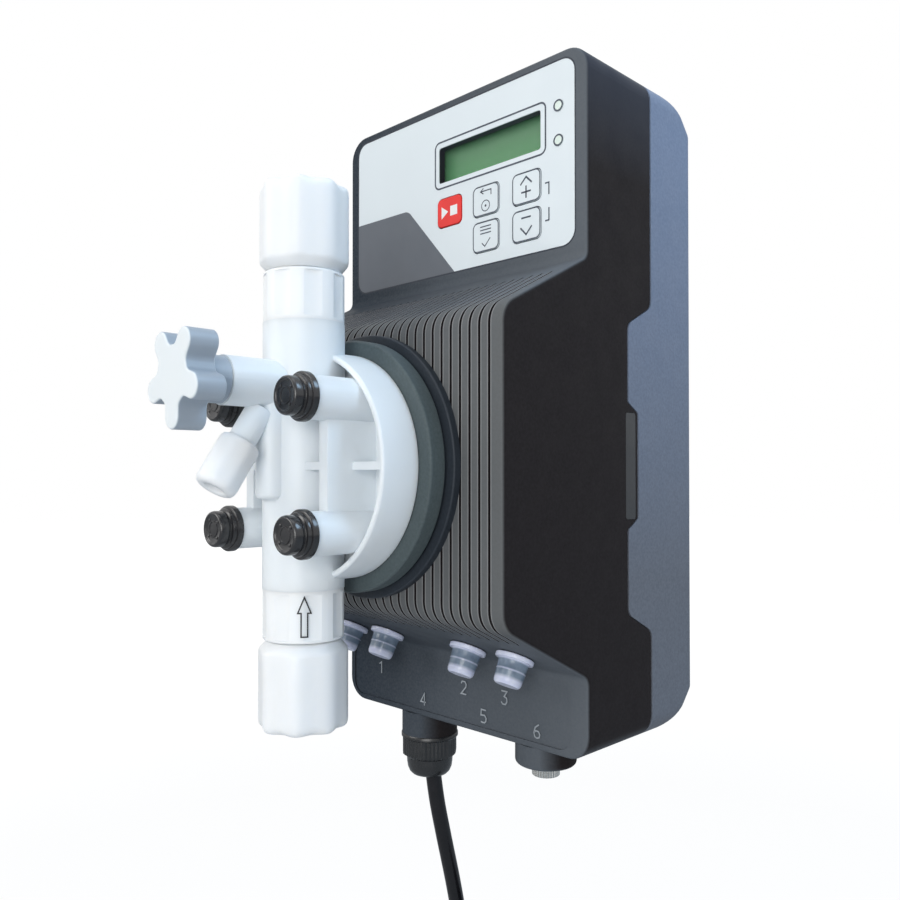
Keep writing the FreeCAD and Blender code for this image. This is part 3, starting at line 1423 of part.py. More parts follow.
def make_valve_trim(side):
    """Seat ring, ball, tube nut and hose cone of one valve."""
    floor, level = BALL_FLOOR[side], LEVEL[side]
    seat = tube(side + "Seat", "valve_bore", "cage_r - 0.05", floor + " - seat_thick",
                floor)
    stand_at_column(seat, level)
    keep(seat, side + "_seat")
    ball = doc.addObject("Part::Sphere", side + "Ball")
    bind(ball, Radius="ball_r")
    rest = "sqrt(ball_r * ball_r - valve_bore * valve_bore) + ball_seat_gap"
    stand_at_column(ball, "%s + %s + %s" % (level, floor, rest))
    keep(ball, side + "_ball")

    turn = None if side == "discharge" else DOWN
    inner_end = "(%s - nut_wall)" % NUT_END
    bore = "valve_neck_r + nut_gap"
    nut = turned(side + "Nut", [
        (bore, NUT_START), ("nut_r - nut_chamfer", NUT_START),
        ("nut_r", NUT_START + " + nut_chamfer"), ("nut_r", NUT_END, "0.8"),
        ("tube_r", NUT_END), ("tube_r", inner_end), (bore, inner_end)])
    flutes(nut, "nut_flat", "nut_lobes", NUT_START, "nut_long", "60")
    stand_at_column(nut, level, turn)
    keep(nut, side + "_nut")
    cone = turned(side + "Cone", [
        ("valve_bore", NECK_END), ("valve_neck_r - 0.3", NECK_END),
        ("valve_neck_r - 0.3", NECK_END + " + 1.6"),
        ("cone_r + 1", NECK_END + " + 1.6"), ("cone_r", inner_end),
        ("valve_bore", inner_end)])
    stand_at_column(cone, level, turn)
    keep(cone, side + "_hose_cone")


# Bleed valve: spindle, star knob and outlet nut


def make_bleed():
    spindle = turned("BleedSpindle", [
        ("0", "spindle_start - 1"), ("1.3", "spindle_start - 1"),
        ("1.3", "spindle_start"), ("spindle_r", "spindle_start"),
        ("spindle_r", "knob_back - 3.4"), ("spindle_end_r", "knob_back - 3.4"),
        ("spindle_end_r", "knob_front - 2"), ("0", "knob_front - 2")])
    on_front(spindle, height="stub_height")
    keep(spindle, "bleed_spindle")

    knob = new_body("StarKnob")
    star = new_sketch(knob, "XY_Plane", "knob_back")
    pad(knob, circle(star, "0", "0", "knob_core_r"), "knob_front - knob_back")
    arm = new_sketch(knob, "XY_Plane", "knob_back")
    rectangle(arm, "0", "-knob_reach / 2", "2 * knob_lobe_r", "knob_reach",
              "knob_lobe_r - 0.05")
    lobe = pad(knob, arm, "knob_front - knob_back")
    repeat_round(knob, [lobe], "knob_lobes")
    core, low, high = value("knob_core_r"), value("knob_back"), value("knob_front")

    def at_valley(edge):
        box = edge.BoundBox
        reach = math.hypot(edge.CenterOfMass.x, edge.CenterOfMass.y)
        return box.ZMax - box.ZMin > high - low - 0.01 and reach < core + 0.3

    def at_end(edge):
        return edge.BoundBox.ZMin > high - 0.01 or edge.BoundBox.ZMax < low + 0.01

    round_edges(knob, "knob_fillet_r", at_valley)
    round_edges(knob, "knob_edge_r", at_end)
    hub = new_sketch(knob, "XY_Plane", "knob_back + 1")
    pad(knob, circle(hub, "0", "0", "knob_hub_r"),
        "knob_back + 1 - stub_face - knob_rest_gap", flip=True)
    for radius, end in (("spindle_end_r + 0.05", "knob_front - 1.95"),
                        ("spindle_r + 0.05", "knob_back - 3.35")):
        bore = new_sketch(knob, "XY_Plane", "stub_face + knob_rest_gap")
        pocket(knob, circle(bore, "0", "0", radius),
               end + " - stub_face - knob_rest_gap", flip=True)
    on_front(knob, height="stub_height")
    keep(knob, "star_knob")

    bore = "nozzle_r + nut_gap"
    inner_end = "bleed_nut_long - bleed_nut_wall"
    nut = turned("BleedNut", [
        (bore, "0"), ("bleed_nut_r", "0", "0.6"),
        ("bleed_nut_r", "bleed_nut_long", "0.6"), ("bleed_tube_r", "bleed_nut_long"),
        ("bleed_tube_r", inner_end), (bore, inner_end)])
    flutes(nut, "bleed_nut_flat", "nut_lobes", "0", "bleed_nut_long", "24")
    place(nut, "0", "-(nozzle_root + bleed_nut_start * cos(nozzle_tilt))",
          "nozzle_root_height - bleed_nut_start * sin(nozzle_tilt)",
          tilt="90 + nozzle_tilt")
    keep(nut, "bleed_nut")


# Sockets and caps on the lower slope, drawn square to it


def on_slope(thing, x):
    """Puts a body that is drawn about its own Z on the lower slope."""
    place(thing, x, "-(panel_depth + socket_along * cos(slope_tilt))",
          "lower_foot + socket_along * sin(slope_tilt)", tilt="180 - slope_tilt")
    return thing


def make_sockets():
    shapes = []
    flange_end = "dust_cap_rest + dust_cap_flange_thick"
    ceiling = "dust_cap_tall - dust_cap_wall"
    bore = "socket_r + dust_cap_gap"
    for index, x in enumerate(SOCKETS):
        socket = turned("Socket%d" % index, [
            ("0", "-socket_in"), ("socket_r", "-socket_in"),
            ("socket_r", "socket_out"), ("2.2", "socket_out"),
            ("2.2", "0"), ("0", "0")])
        shapes.append(on_slope(socket, x))
        cap = turned("DustCap%d" % index, [
            ("dust_cap_flange_r", "dust_cap_rest"),
            ("dust_cap_flange_r", flange_end, "0.4"), ("dust_cap_r", flange_end),
            ("dust_cap_tip_r", "dust_cap_tall", "1"), ("0", "dust_cap_tall"),
            ("0", ceiling), (bore, ceiling), (bore, "dust_cap_rest")])
        on_slope(cap, x)
        keep(cap, "socket_cap_%d" % (index + 1))
    group = doc.addObject("Part::Compound", "Sockets")
    group.Links = shapes
    keep(group, "signal_sockets")


# Cable gland and measuring socket under the case


def stand_under(thing, x, depth, drop):
    """Hangs a body that is drawn about its own Z, z down, under the case."""
    place(thing, x, "-" + depth, "-case_height / 2 - %s" % drop, turn=DOWN)
    return thing


def make_gland():
    top = "1 - gland_collar_tall - case_wall"
    body = turned("GlandBody", [
        ("gland_seal_r + 0.05", top), ("gland_thread_r", top),
        ("gland_thread_r", "0"), ("gland_flange_r", "0"),
        ("gland_flange_r", "gland_flange_thick"),
        ("gland_thread_r", "gland_flange_thick"),
        ("gland_thread_r", "gland_thread_long"),
        ("gland_seal_r + 0.05", "gland_thread_long")])
    stand_under(body, "gland_x", "gland_depth", "gland_collar_tall")
    keep(body, "gland_body")

    seal = tube("GlandSeal", "cord_r + cord_gap", "gland_seal_r", "0",
                "gland_thread_long")
    stand_under(seal, "gland_x", "gland_depth", "gland_collar_tall")
    keep(seal, "gland_seal")

    start = "(gland_flange_thick + gland_gap)"
    hex_end = "(%s + gland_hex_tall)" % start
    end = "(%s + gland_dome_tall)" % hex_end
    shelf = "(gland_thread_long + 0.3)"
    bore = "gland_thread_r + 0.1"
    nut = turned("GlandNut", [
        (bore, start), ("gland_hex_r", start), ("gland_hex_r", hex_end),
        ("gland_dome_r", hex_end + " + 1"), ("gland_dome_r", end, "5"),
        ("cord_r + cord_gap", end), ("cord_r + cord_gap", shelf), (bore, shelf)])
    flutes(nut, "(gland_hex_r * cos(30))", "6", start, "gland_hex_tall + 1", "300")
    stand_under(nut, "gland_x", "gland_depth", "gland_collar_tall")
    keep(nut, "gland_nut")


def make_meter_socket():
    floor = "meter_out - meter_bore_deep"
    barrel = turned("MeasuringSocket", [
        ("0", "-meter_in"), ("meter_r + meter_shoulder", "-meter_in"),
        ("meter_r + meter_shoulder", "0"), ("meter_r - 0.4", "0"),
        ("meter_r - 0.4", "meter_neck"), ("meter_r", "meter_neck"),
        ("meter_r", "meter_out", "0.4"),
        ("meter_bore_r", "meter_out"), ("meter_bore_r", floor),
        ("1", floor), ("1", "meter_out - 2"), ("0", "meter_out - 2")])
    stand_under(barrel, "meter_x", "meter_depth", "meter_boss_tall")
    keep(barrel, "measuring_socket")


# Mains cord: its route, the coil of its unseen length, the tie and the plug

COIL_MIDDLE = Vector(16.2, -30.9, -238)
COIL_MEAN_R = 34
COIL_ROWS = 3
COIL_LAYERS = 2
CORD_ROUTE = [
    (-24, -54, -127),
    (-24, -54, -146),
    (-24.3, -51, -167),
    (-24.2, -43.5, -188.5),
    (-24, -36.5, -212),
    (-24, -34, -235),
]
TAIL_ROUTE = [
    (-24, -27.8, -238),
    (-24, -27.8, -254),
    (-20, -29, -272),
    (-20, -29, -288),
]


def arcs_through(route):
    """Straight runs joined by tangent arcs, with the radius of each arc."""
    points = [Vector(*point) for point in route]
    edges, radii = [], []
    last = points[0]
    for before, here, after in zip(points, points[1:], points[2:]):
        back, on = before - here, after - here
        reach = 0.45 * min(back.Length, on.Length)
        half = back.getAngle(on) / 2
        start = here + back.normalize() * reach
        stop = here + on.normalize() * reach
        radius = reach * math.tan(half)
        middle = here + (back + on).normalize() * (radius / math.sin(half) - radius)
        edges.append(Part.LineSegment(last, start).toShape())
        edges.append(Part.Arc(start, middle, stop).toShape())
        radii.append(radius)
        last = stop
    edges.append(Part.LineSegment(last, points[-1]).toShape())
    return Part.Wire(edges), radii


def make_cord_tube(name, label, route):
    path, radii = arcs_through(route)
    radius = value("cord_r")
    start = Vector(*route[0])
    section = Part.Wire([Part.makeCircle(radius, start, Vector(*route[1]) - start)])
    solid = path.makePipeShell([section], True, True)
    wanted = math.pi * radius ** 2 * path.Length
    print("%s: %.0f mm long, volume %.4f of section times length, radii %s" % (
        label, path.Length, solid.Volume / wanted, ["%.0f" % r for r in radii]))
    made = doc.addObject("Part::Feature", name)
    made.Shape = solid
    return keep(made, label)


def make_coil():
    """One closed ring of the outer shape of the wound turns, and its tie."""
    radius = value("cord_r")
    half_wide, half_deep = COIL_ROWS * radius, COIL_LAYERS * radius
    low = COIL_MEAN_R - half_wide
    corners = [Vector(x, y, 0) + COIL_MIDDLE for x, y in (
        (low, -half_deep), (low + 2 * half_wide, -half_deep),
        (low + 2 * half_wide, half_deep), (low, half_deep))]
    face = Part.Face(Part.makePolygon(corners + corners[:1]))
    made = doc.addObject("Part::Feature", "CordCoil")
    made.Shape = face.revolve(COIL_MIDDLE, Vector(0, 1, 0), 360)
    keep(made, "mains_cord_coil")

    side = COIL_MIDDLE.x + COIL_MEAN_R
    band = []
    for name, gap in (("TieHole", 0.15), ("TieBand", 1.35)):
        wide, deep = half_wide + gap, half_deep + gap
        band.append(block(name, str(side - wide), str(COIL_MIDDLE.y - deep),
                          str(COIL_MIDDLE.z - 3), str(2 * wide), str(2 * deep), "6"))
    keep(cut("CordTie", band[1], band[:1]), "cord_tie")


def make_plug():
    """Moulded plug under the tail, with a ribbed neck and two round pins."""
    x, y, top = TAIL_ROUTE[-1]
    neck, body_end = "plug_neck_long", "plug_neck_long + plug_long"
    plug = turned("Plug", [
        ("0", "0"), ("plug_neck_r - 1.4", "0", "1"), ("plug_neck_r", neck),
        ("plug_r - 2", neck + " + 2", "4"), ("plug_r", neck + " + 16", "20"),
        ("plug_r", body_end, "1.5"), ("0", body_end)])
    place(plug, str(x), str(y), str(top), turn=DOWN)
    keep(plug, "mains_plug")
    pins = new_body("Pins")
    feet = new_sketch(pins, "XY_Plane", body_end)
    for side in ("-", ""):
        circle(feet, side + "pin_space / 2", "0", "pin_r")
    pad(pins, feet, "pin_long")
    end = value(body_end + " + pin_long")
    round_edges(pins, "1.6", lambda edge: edge.BoundBox.ZMin > end - 0.01)
    place(pins, str(x), str(y), str(top), turn=DOWN)
    keep(pins, "plug_pins")


def check_shapes():
    doc.recompute()
    for thing in doc.Objects:
        if "Invalid" in thing.State or "Error" in thing.State:
            raise ValueError("%s can't be built: %s" % (thing.Name, thing.State))
    for part in parts:
        if part.Shape.isNull() or not part.Shape.isValid():
            raise ValueError("%s has no valid shape" % part.Label)


make_front_cover()
make_rear_housing()
make_gasket()
make_case_screws()
make_side_plate()
make_label()
make_lens()
make_display()
make_led_lenses()
for key_label, key_x, key_height in KEYS:
    make_key(key_label, key_x, key_height)
make_display_board()
make_power_board()
make_board_screws()
make_drive()
make_rings()
make_pump_head()
make_head_screws()
for valve_side in ("discharge", "suction"):
    make_valve(valve_side)
    make_valve_trim(valve_side)
make_bleed()
make_sockets()
make_gland()
make_meter_socket()
make_cord_tube("Cord", "mains_cord", CORD_ROUTE)
make_cord_tube("CordTail", "mains_cord_tail", TAIL_ROUTE)
make_coil()
make_plug()
check_shapes()
for part in parts:
    part.Shape.exportStep("parts/%s.step" % part.Label)
    print(part.Label, len(part.Shape.Solids), round(part.Shape.Volume))
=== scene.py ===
import math

import bpy
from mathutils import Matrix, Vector


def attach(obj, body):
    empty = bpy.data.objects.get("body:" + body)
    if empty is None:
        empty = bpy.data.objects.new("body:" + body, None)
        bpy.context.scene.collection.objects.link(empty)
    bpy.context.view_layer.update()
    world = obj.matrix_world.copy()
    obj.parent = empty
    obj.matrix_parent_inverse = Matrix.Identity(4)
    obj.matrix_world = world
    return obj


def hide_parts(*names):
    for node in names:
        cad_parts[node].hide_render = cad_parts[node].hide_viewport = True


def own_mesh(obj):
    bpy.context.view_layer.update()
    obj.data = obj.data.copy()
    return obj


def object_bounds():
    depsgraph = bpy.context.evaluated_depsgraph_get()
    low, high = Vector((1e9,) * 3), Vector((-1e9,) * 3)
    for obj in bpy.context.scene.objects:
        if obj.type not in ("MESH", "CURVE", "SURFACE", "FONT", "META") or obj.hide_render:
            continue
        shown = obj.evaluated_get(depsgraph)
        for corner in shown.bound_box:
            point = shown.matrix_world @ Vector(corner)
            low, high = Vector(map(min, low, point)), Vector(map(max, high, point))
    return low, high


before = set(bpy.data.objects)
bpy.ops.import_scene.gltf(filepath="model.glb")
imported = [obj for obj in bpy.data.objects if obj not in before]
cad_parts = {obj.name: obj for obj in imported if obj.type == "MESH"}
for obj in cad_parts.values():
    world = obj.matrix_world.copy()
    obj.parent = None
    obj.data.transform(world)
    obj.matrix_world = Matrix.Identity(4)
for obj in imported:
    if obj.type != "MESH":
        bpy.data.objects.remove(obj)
cad_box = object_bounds()

MM = 0.001
SCENE = bpy.context.scene

# Places that several pieces share, in millimetres. The dust caps stand on the slope above the lower panel.

PANEL = 65.0
COLUMN_Y = -131
PLUNGER_Z = -21
SLOPE_LEAN = math.radians(27)
SLOPE_FOOT_Z = -88.2
SOCKET_LINE = 15.1
CAP_FOOT = (
    0,
    -(PANEL + SOCKET_LINE * math.cos(SLOPE_LEAN)),
    SLOPE_FOOT_Z + SOCKET_LINE * math.sin(SLOPE_LEAN))
CAP_WAY = (0, -math.sin(SLOPE_LEAN), -math.cos(SLOPE_LEAN))
GLAND_X, GLAND_Y = -24, -54
MEASURING_X, MEASURING_Y = 34, -54


# Camera, solved from the edges of the case in the photograph

CAMERA_PLACE = (0.21778, -0.28456, -0.02382)
CAMERA_TILT = 90.72
CAMERA_TURN = 45
CAMERA_LENS = 33.816
CAMERA_SHIFT = 0.0164


def make_camera():
    data = bpy.data.cameras.new("camera")
    data.sensor_width = 36
    data.lens = CAMERA_LENS
    data.shift_y = CAMERA_SHIFT
    data.clip_start = 0.01
    data.clip_end = 50
    camera = bpy.data.objects.new("camera", data)
    camera.location = CAMERA_PLACE
    camera.rotation_euler = (math.radians(CAMERA_TILT), 0, math.radians(CAMERA_TURN))
    SCENE.collection.objects.link(camera)
    SCENE.camera = camera


make_camera()


# Materials. Sizes of patterns are in millimetres, colours are linear.

def tone(red, green, blue):
    """Linear colour of an 8-bit display colour."""
    def linear(level):
        level /= 255
        return level / 12.92 if level <= 0.04045 else ((level + 0.055) / 1.055) ** 2.4
    return tuple(linear(level) for level in (red, green, blue))


# Sockets of the mix node for its two colours and their result

MIX_FIRST, MIX_SECOND, MIX_RESULT = 6, 7, 2


class Finish:
    """A node material that is put together from small procedural steps."""

    def __init__(self, name, colour, rough, metallic=0.0, specular=0.5):
        self.material = bpy.data.materials.new(name)
        self.material.use_nodes = True
        self.tree = self.material.node_tree
        self.shader = self.tree.nodes["Principled BSDF"]
        self.colour = colour
        self.put("Base Color", (*colour, 1))
        self.put("Roughness", rough)
        self.put("Metallic", metallic)
        self.put("Specular IOR Level", specular)
        self.rough = rough
        self.normal = None
        self.coordinates = None

    def put(self, socket, value):
        self.shader.inputs[socket].default_value = value

    def node(self, kind, **settings):
        made = self.tree.nodes.new("ShaderNode" + kind)
        for name, value in settings.items():
            setattr(made, name, value)
        return made

    def link(self, output, target):
        self.tree.links.new(output, target)

    def place(self):
        if self.coordinates is None:
            self.coordinates = self.node("TexCoord").outputs["Object"]
        return self.coordinates

    def along(self, axis):
        """One coordinate of the surface point, in metres."""
        parts = self.node("SeparateXYZ")
        self.link(self.place(), parts.inputs["Vector"])
        return parts.outputs[axis]

    def facing(self, axis):
        """How far the surface faces along one axis, either way, from 0 to 1."""
        parts = self.node("SeparateXYZ")
        self.link(self.node("TexCoord").outputs["Normal"], parts.inputs["Vector"])
        return self.reckon("ABSOLUTE", parts.outputs[axis])

    def reckon(self, operation, first, second=None):
        """One step of arithmetic on sockets or numbers."""
        step = self.node("Math", operation=operation)
        for socket, value in zip(step.inputs, (first, second)):
            if isinstance(value, (int, float)):
                socket.default_value = value
            elif value is not None:
                self.link(value, socket)
        return step.outputs[0]

    def paint(self, colour):
        self.link(colour, self.shader.inputs["Base Color"])
        return self

    def stretched(self, stretch):
        mapping = self.node("Mapping")
        mapping.inputs["Scale"].default_value = stretch
        self.link(self.place(), mapping.inputs["Vector"])
        return mapping.outputs["Vector"]

    def noise(self, size, detail=2.0, stretch=None):
        """Noise whose grains are about size millimetres wide, from 0 to 1."""
        texture = self.node("TexNoise")
        texture.inputs["Scale"].default_value = 1000 / size
        texture.inputs["Detail"].default_value = detail
        vector = self.stretched(stretch) if stretch else self.place()
        self.link(vector, texture.inputs["Vector"])
        return texture.outputs["Fac"]

    def spread(self, factor, low, high, start=0.3, stop=0.7):
        ramp = self.node("MapRange")
        self.link(factor, ramp.inputs["Value"])
        for name, value in (("From Min", start), ("From Max", stop), ("To Min", low), ("To Max", high)):
            ramp.inputs[name].default_value = value
        return ramp.outputs["Result"]

    def mix(self, factor, first, second):
        """Mixes two colours, each a tuple or a socket."""
        made = self.node("Mix", data_type="RGBA")
        self.link(factor, made.inputs["Factor"])
        for index, colour in ((MIX_FIRST, first), (MIX_SECOND, second)):
            if isinstance(colour, tuple):
                made.inputs[index].default_value = (*colour, 1)
            else:
                self.link(colour, made.inputs[index])
        return made.outputs[MIX_RESULT]

    def mottle(self, size, amount, detail=3.0, stretch=None):
        """Small changes of the colour's brightness over the surface."""
        low = tuple(level * (1 - amount) for level in self.colour)
        high = tuple(min(1.0, level * (1 + amount)) for level in self.colour)
        return self.paint(self.mix(self.spread(self.noise(size, detail, stretch), 0, 1), low, high))

    def uneven(self, size, amount, stretch=None):
        """Changes of the gloss over the surface."""
        low, high = self.rough - amount, self.rough + amount
        self.link(self.spread(self.noise(size, 2.0, stretch), low, high), self.shader.inputs["Roughness"])
        return self

    def raise_by(self, height, millimetres, strength):
        """Adds one layer of bump."""
        bump = self.node("Bump")
        bump.inputs["Distance"].default_value = millimetres * MM
        bump.inputs["Strength"].default_value = strength
        self.link(height, bump.inputs["Height"])
        if self.normal:
            self.link(self.normal, bump.inputs["Normal"])
        self.normal = bump.outputs["Normal"]
        self.link(self.normal, self.shader.inputs["Normal"])
        return self

    def grain(self, size, millimetres=0.05, strength=0.4, detail=3.0, stretch=None):
        return self.raise_by(self.noise(size, detail, stretch), millimetres, strength)

    def milky(self, weight, millimetres):
        self.put("Subsurface Weight", weight)
        self.put("Subsurface Radius", (1.0, 1.05, 1.15))
        self.put("Subsurface Scale", millimetres * MM)
        return self

    def waves(self, axis, pitch, millimetres, strength):
        """Fine even ridges across one axis, as on wound wire."""
        texture = self.node("TexWave", bands_direction=axis)
        texture.inputs["Scale"].default_value = math.pi / (pitch * MM) / 10
        self.link(self.place(), texture.inputs["Vector"])
        return self.raise_by(texture.outputs["Fac"], millimetres, strength)

    def knurls(self, x, y, count, millimetres, strength):
        """Even ridges around a vertical axis at x, y in millimetres."""
        right = self.reckon("SUBTRACT", self.along("X"), x * MM)
        back = self.reckon("SUBTRACT", self.along("Y"), y * MM)
        turns = self.reckon("MULTIPLY", self.reckon("ARCTAN2", back, right), count)
        return self.raise_by(self.reckon("SINE", turns), millimetres, strength)


def moulded(name, colour, rough=0.5, specular=0.35, grain=0.7, depth=0.06, strength=0.5):
    """Textured case plastic."""
    made = Finish(name, colour, rough, specular=specular)
    made.mottle(0.9, 0.10).uneven(9, 0.06)
    return made.grain(grain, depth, strength).grain(14, 0.12, 0.12)


def milky(name, colour, rough=0.33, depth=3.0, weight=0.35):
    """Translucent white plastic, smooth from the mould."""
    made = Finish(name, colour, rough, specular=0.4)
    made.mottle(22, 0.015).uneven(12, 0.06).milky(weight, depth)
    return made.grain(7, 0.05, 0.10)


def glossy(name, colour, rough=0.25, specular=0.4):
    made = Finish(name, colour, rough, specular=specular)
    return made.mottle(4, 0.12).uneven(5, 0.06).grain(1.2, 0.02, 0.15)


def metal(name, colour, rough=0.3, stretch=(1, 1, 12)):
    """Metal with fine marks, which run across the axis that has the large factor."""
    made = Finish(name, colour, rough, metallic=1.0)
    made.mottle(3, 0.06, stretch=stretch).uneven(2, 0.08, stretch)
    return made.grain(0.6, 0.01, 0.25, stretch=stretch)


def rubber(name, colour, rough=0.55):
    made = Finish(name, colour, rough, specular=0.35)
    return made.mottle(3, 0.08).uneven(4, 0.06).grain(0.5, 0.02, 0.3)


finishes = {
    "cover": moulded("cover_plastic", (0.082, 0.092, 0.104), 0.58, 0.06),
    "housing": moulded("housing_plastic", (0.165, 0.188, 0.235), 0.50, 0.15, grain=0.6, depth=0.04),
    "seal": rubber("seal_rubber", (0.012, 0.012, 0.013)),
    "screw": metal("screw_steel", (0.56, 0.57, 0.60), 0.34),
    "plate": moulded("plate_plastic", (0.030, 0.032, 0.035), 0.42, 0.35, grain=0.5, depth=0.03),
    "label": Finish("label_film", (0.67, 0.73, 0.765), 0.34, specular=0.30)
        .mottle(30, 0.012).uneven(16, 0.05).grain(0.35, 0.008, 0.25),
    "display": Finish("display_glass", tone(92, 150, 104), 0.35, specular=0.2),
    "window": Finish("clear_window", (0.25, 0.40, 0.30), 0.12, specular=0.25),
    "lamp": milky("lamp_plastic", (0.62, 0.72, 0.66), 0.25, 1.0),
    "red": Finish("key_red", (0.76, 0.040, 0.035), 0.45, specular=0.20)
        .mottle(6, 0.05).uneven(5, 0.05).grain(0.35, 0.01, 0.25),
    "board": Finish("board_green", (0.015, 0.12, 0.045), 0.35, specular=0.5)
        .mottle(5, 0.25).uneven(3, 0.06).grain(1.5, 0.03, 0.4),
    "can": glossy("can_steel", (0.03, 0.03, 0.033), 0.35),
    "core": metal("core_steel", (0.44, 0.45, 0.47), 0.36, (1, 14, 1)),
    "bush": metal("bush_bronze", (0.50, 0.29, 0.12), 0.42, (1, 1, 1)),
    "bobbin": moulded("bobbin_plastic", (0.020, 0.020, 0.023), 0.45),
    "winding": Finish("winding_copper", (0.55, 0.20, 0.07), 0.32, metallic=1.0)
        .mottle(2, 0.12).uneven(3, 0.06).waves("Y", 0.5, 0.1, 0.8),
    "rod": metal("rod_steel", (0.62, 0.63, 0.65), 0.2, (1, 14, 1)),
    "membrane": rubber("diaphragm_polymer", (0.78, 0.78, 0.75), 0.4),
    "spring": metal("spring_steel", (0.46, 0.47, 0.50), 0.3, (1, 1, 1)),
    "collar": moulded("collar_plastic", (0.028, 0.035, 0.045), 0.46, 0.20,
                      grain=0.8, depth=0.04, strength=0.35),
    "ring": moulded("ring_plastic", (0.078, 0.100, 0.106), 0.52, 0.20,
                    grain=1.1, depth=0.05, strength=0.5),
    "head": milky("head_plastic", (0.80, 0.845, 0.88), 0.40, 4.0),
    "valve": milky("valve_plastic", (0.88, 0.90, 0.915), 0.38, 4.0),
    "nut": milky("nut_plastic", (0.87, 0.89, 0.91), 0.40, 4.0),
    "knob": milky("knob_plastic", (0.76, 0.805, 0.83), 0.42, 2.5, 0.25),
    "cone": milky("cone_plastic", (0.80, 0.84, 0.88), 0.36, 2.0),
    "cap": glossy("cap_black", (0.015, 0.015, 0.017), 0.23, 0.6),
    "seat": rubber("seat_rubber", (0.02, 0.02, 0.022)),
    "ball": Finish("ball_ceramic", (0.82, 0.81, 0.78), 0.12, specular=0.6)
        .mottle(2, 0.03).uneven(2, 0.03).grain(0.8, 0.005, 0.2),
    "dust_cap": Finish("dust_cap_plastic", (0.50, 0.56, 0.70), 0.22, specular=0.4).milky(0.3, 1.5),
    "nickel": metal("socket_metal", (0.66, 0.65, 0.62), 0.26),
    "measuring": metal("measuring_metal", (0.66, 0.65, 0.62), 0.24)
        .knurls(MEASURING_X, MEASURING_Y, 30, 0.25, 0.9),
    "gland": glossy("gland_black", (0.015, 0.016, 0.018), 0.28, 0.5),
    "sheath": glossy("cord_sheath", (0.007, 0.007, 0.009), 0.20, 0.32),
    "tie": glossy("tie_black", (0.015, 0.015, 0.016), 0.38),
    "plug": rubber("plug_black", (0.012, 0.012, 0.013), 0.45),
    # Dark colour of the painted shadow line along the label's edge.
    "shadow_line_paint": Finish("painted_label_shadow", tone(30, 38, 52), 0.45, specular=0.3)
        .mottle(3, 0.1).uneven(3, 0.05).grain(0.3, 0.005, 0.2),
    "ink": Finish("print_ink", tone(58, 66, 80), 0.45, specular=0.3)
        .mottle(2, 0.08).uneven(3, 0.05).grain(0.3, 0.005, 0.2),
    "patch": Finish("print_patch", tone(82, 88, 97), 0.42, specular=0.35)
        .mottle(8, 0.03).uneven(10, 0.05).grain(0.35, 0.008, 0.25),
    "white_ink": Finish("print_white", (0.80, 0.80, 0.80), 0.45, specular=0.3)
        .mottle(2, 0.03).uneven(3, 0.05).grain(0.3, 0.005, 0.2),
    "lead_ink": Finish("port_print", tone(150, 156, 162), 0.5, specular=0.3)
        .mottle(1, 0.10).uneven(3, 0.05).grain(0.5, 0.02, 0.4),
    "arrow_ink": Finish("arrow_print", tone(48, 48, 50), 0.5, specular=0.3)
        .mottle(0.5, 0.25).uneven(3, 0.05).grain(0.3, 0.02, 0.3),
}


# Finishes that change over a piece. Places are in metres, as the material reads them.

RIB_PITCH = 3.9 * MM


def rib_edge_highlights(made, depth):
    """Where the painted highlight goes: both edges of every groove in the ribbed part of the cover, as a
    factor from 0 to 1.
    """
    lower_start, upper_start = 92.5 * MM, 77 * MM
    ribbed_half = 55.5 * MM
    from_groove = made.reckon("PINGPONG", made.along("X"), RIB_PITCH / 2)
    lip = made.reckon("MULTIPLY", made.spread(from_groove, 0, 1, 0.42 * MM, 0.50 * MM),
                      made.spread(from_groove, 1, 0, 0.75 * MM, 0.95 * MM))
    start = made.spread(made.along("Z"), lower_start, upper_start, -1 * MM, 1 * MM)
    ahead = made.spread(made.reckon("SUBTRACT", depth, start), 0, 1, 0, 1 * MM)
    off_middle = made.reckon("ABSOLUTE", made.along("X"))
    within = made.spread(off_middle, 1, 0, ribbed_half, ribbed_half + 0.5 * MM)
    return made.reckon("MULTIPLY", lip, made.reckon("MULTIPLY", ahead, within))


def finish_cover():
    """Painted light and shade: the front darker to the left in the pump head's shadow and lighter to the
    right and on the ribbed face, the side walls darker with painted bluish light towards the top, and
    painted highlights along the edges of the ribs.
    """
    made = finishes["cover"]
    grains = made.spread(made.noise(0.9, 3.0), 0, 1)
    depth = made.reckon("MULTIPLY", made.along("Y"), -1.0)
    # Painted shade and light on the front: darker to the left, in the pump head's shadow, and lighter to
    # the right.
    to_right = made.spread(made.along("X"), 0, 1, -55 * MM, 55 * MM)
    front = made.mix(to_right, (0.022, 0.031, 0.044), (0.108, 0.121, 0.138))
    # The ribbed face gets the lit tone, clear of that painted shade.
    ribbed_face = made.spread(depth, 0, 1, 94 * MM, 103 * MM)
    front = made.mix(ribbed_face, front, (0.116, 0.121, 0.124))
    specks = made.spread(grains, 0, 0.12, 0, 1)
    front = made.mix(specks, front, (0.19, 0.20, 0.21))
    # Painted highlight along both edges of every groove.
    rib_highlight = made.reckon("MULTIPLY", rib_edge_highlights(made, depth), 0.7)
    front = made.mix(rib_highlight, front, (0.26, 0.26, 0.265))
    # Painted shade on the side walls, with painted bluish light towards their top.
    side = made.mix(grains, (0.016, 0.0135, 0.014), (0.021, 0.018, 0.019))
    to_top = made.spread(made.along("Z"), 0, 1, 75 * MM, 115 * MM)
    side = made.mix(to_top, side, (0.046, 0.051, 0.067))
    # The painted shade goes where the surface faces sideways.
    sideways = made.spread(made.facing("X"), 0, 1, 0.45, 0.92)
    made.paint(made.mix(sideways, front, side))


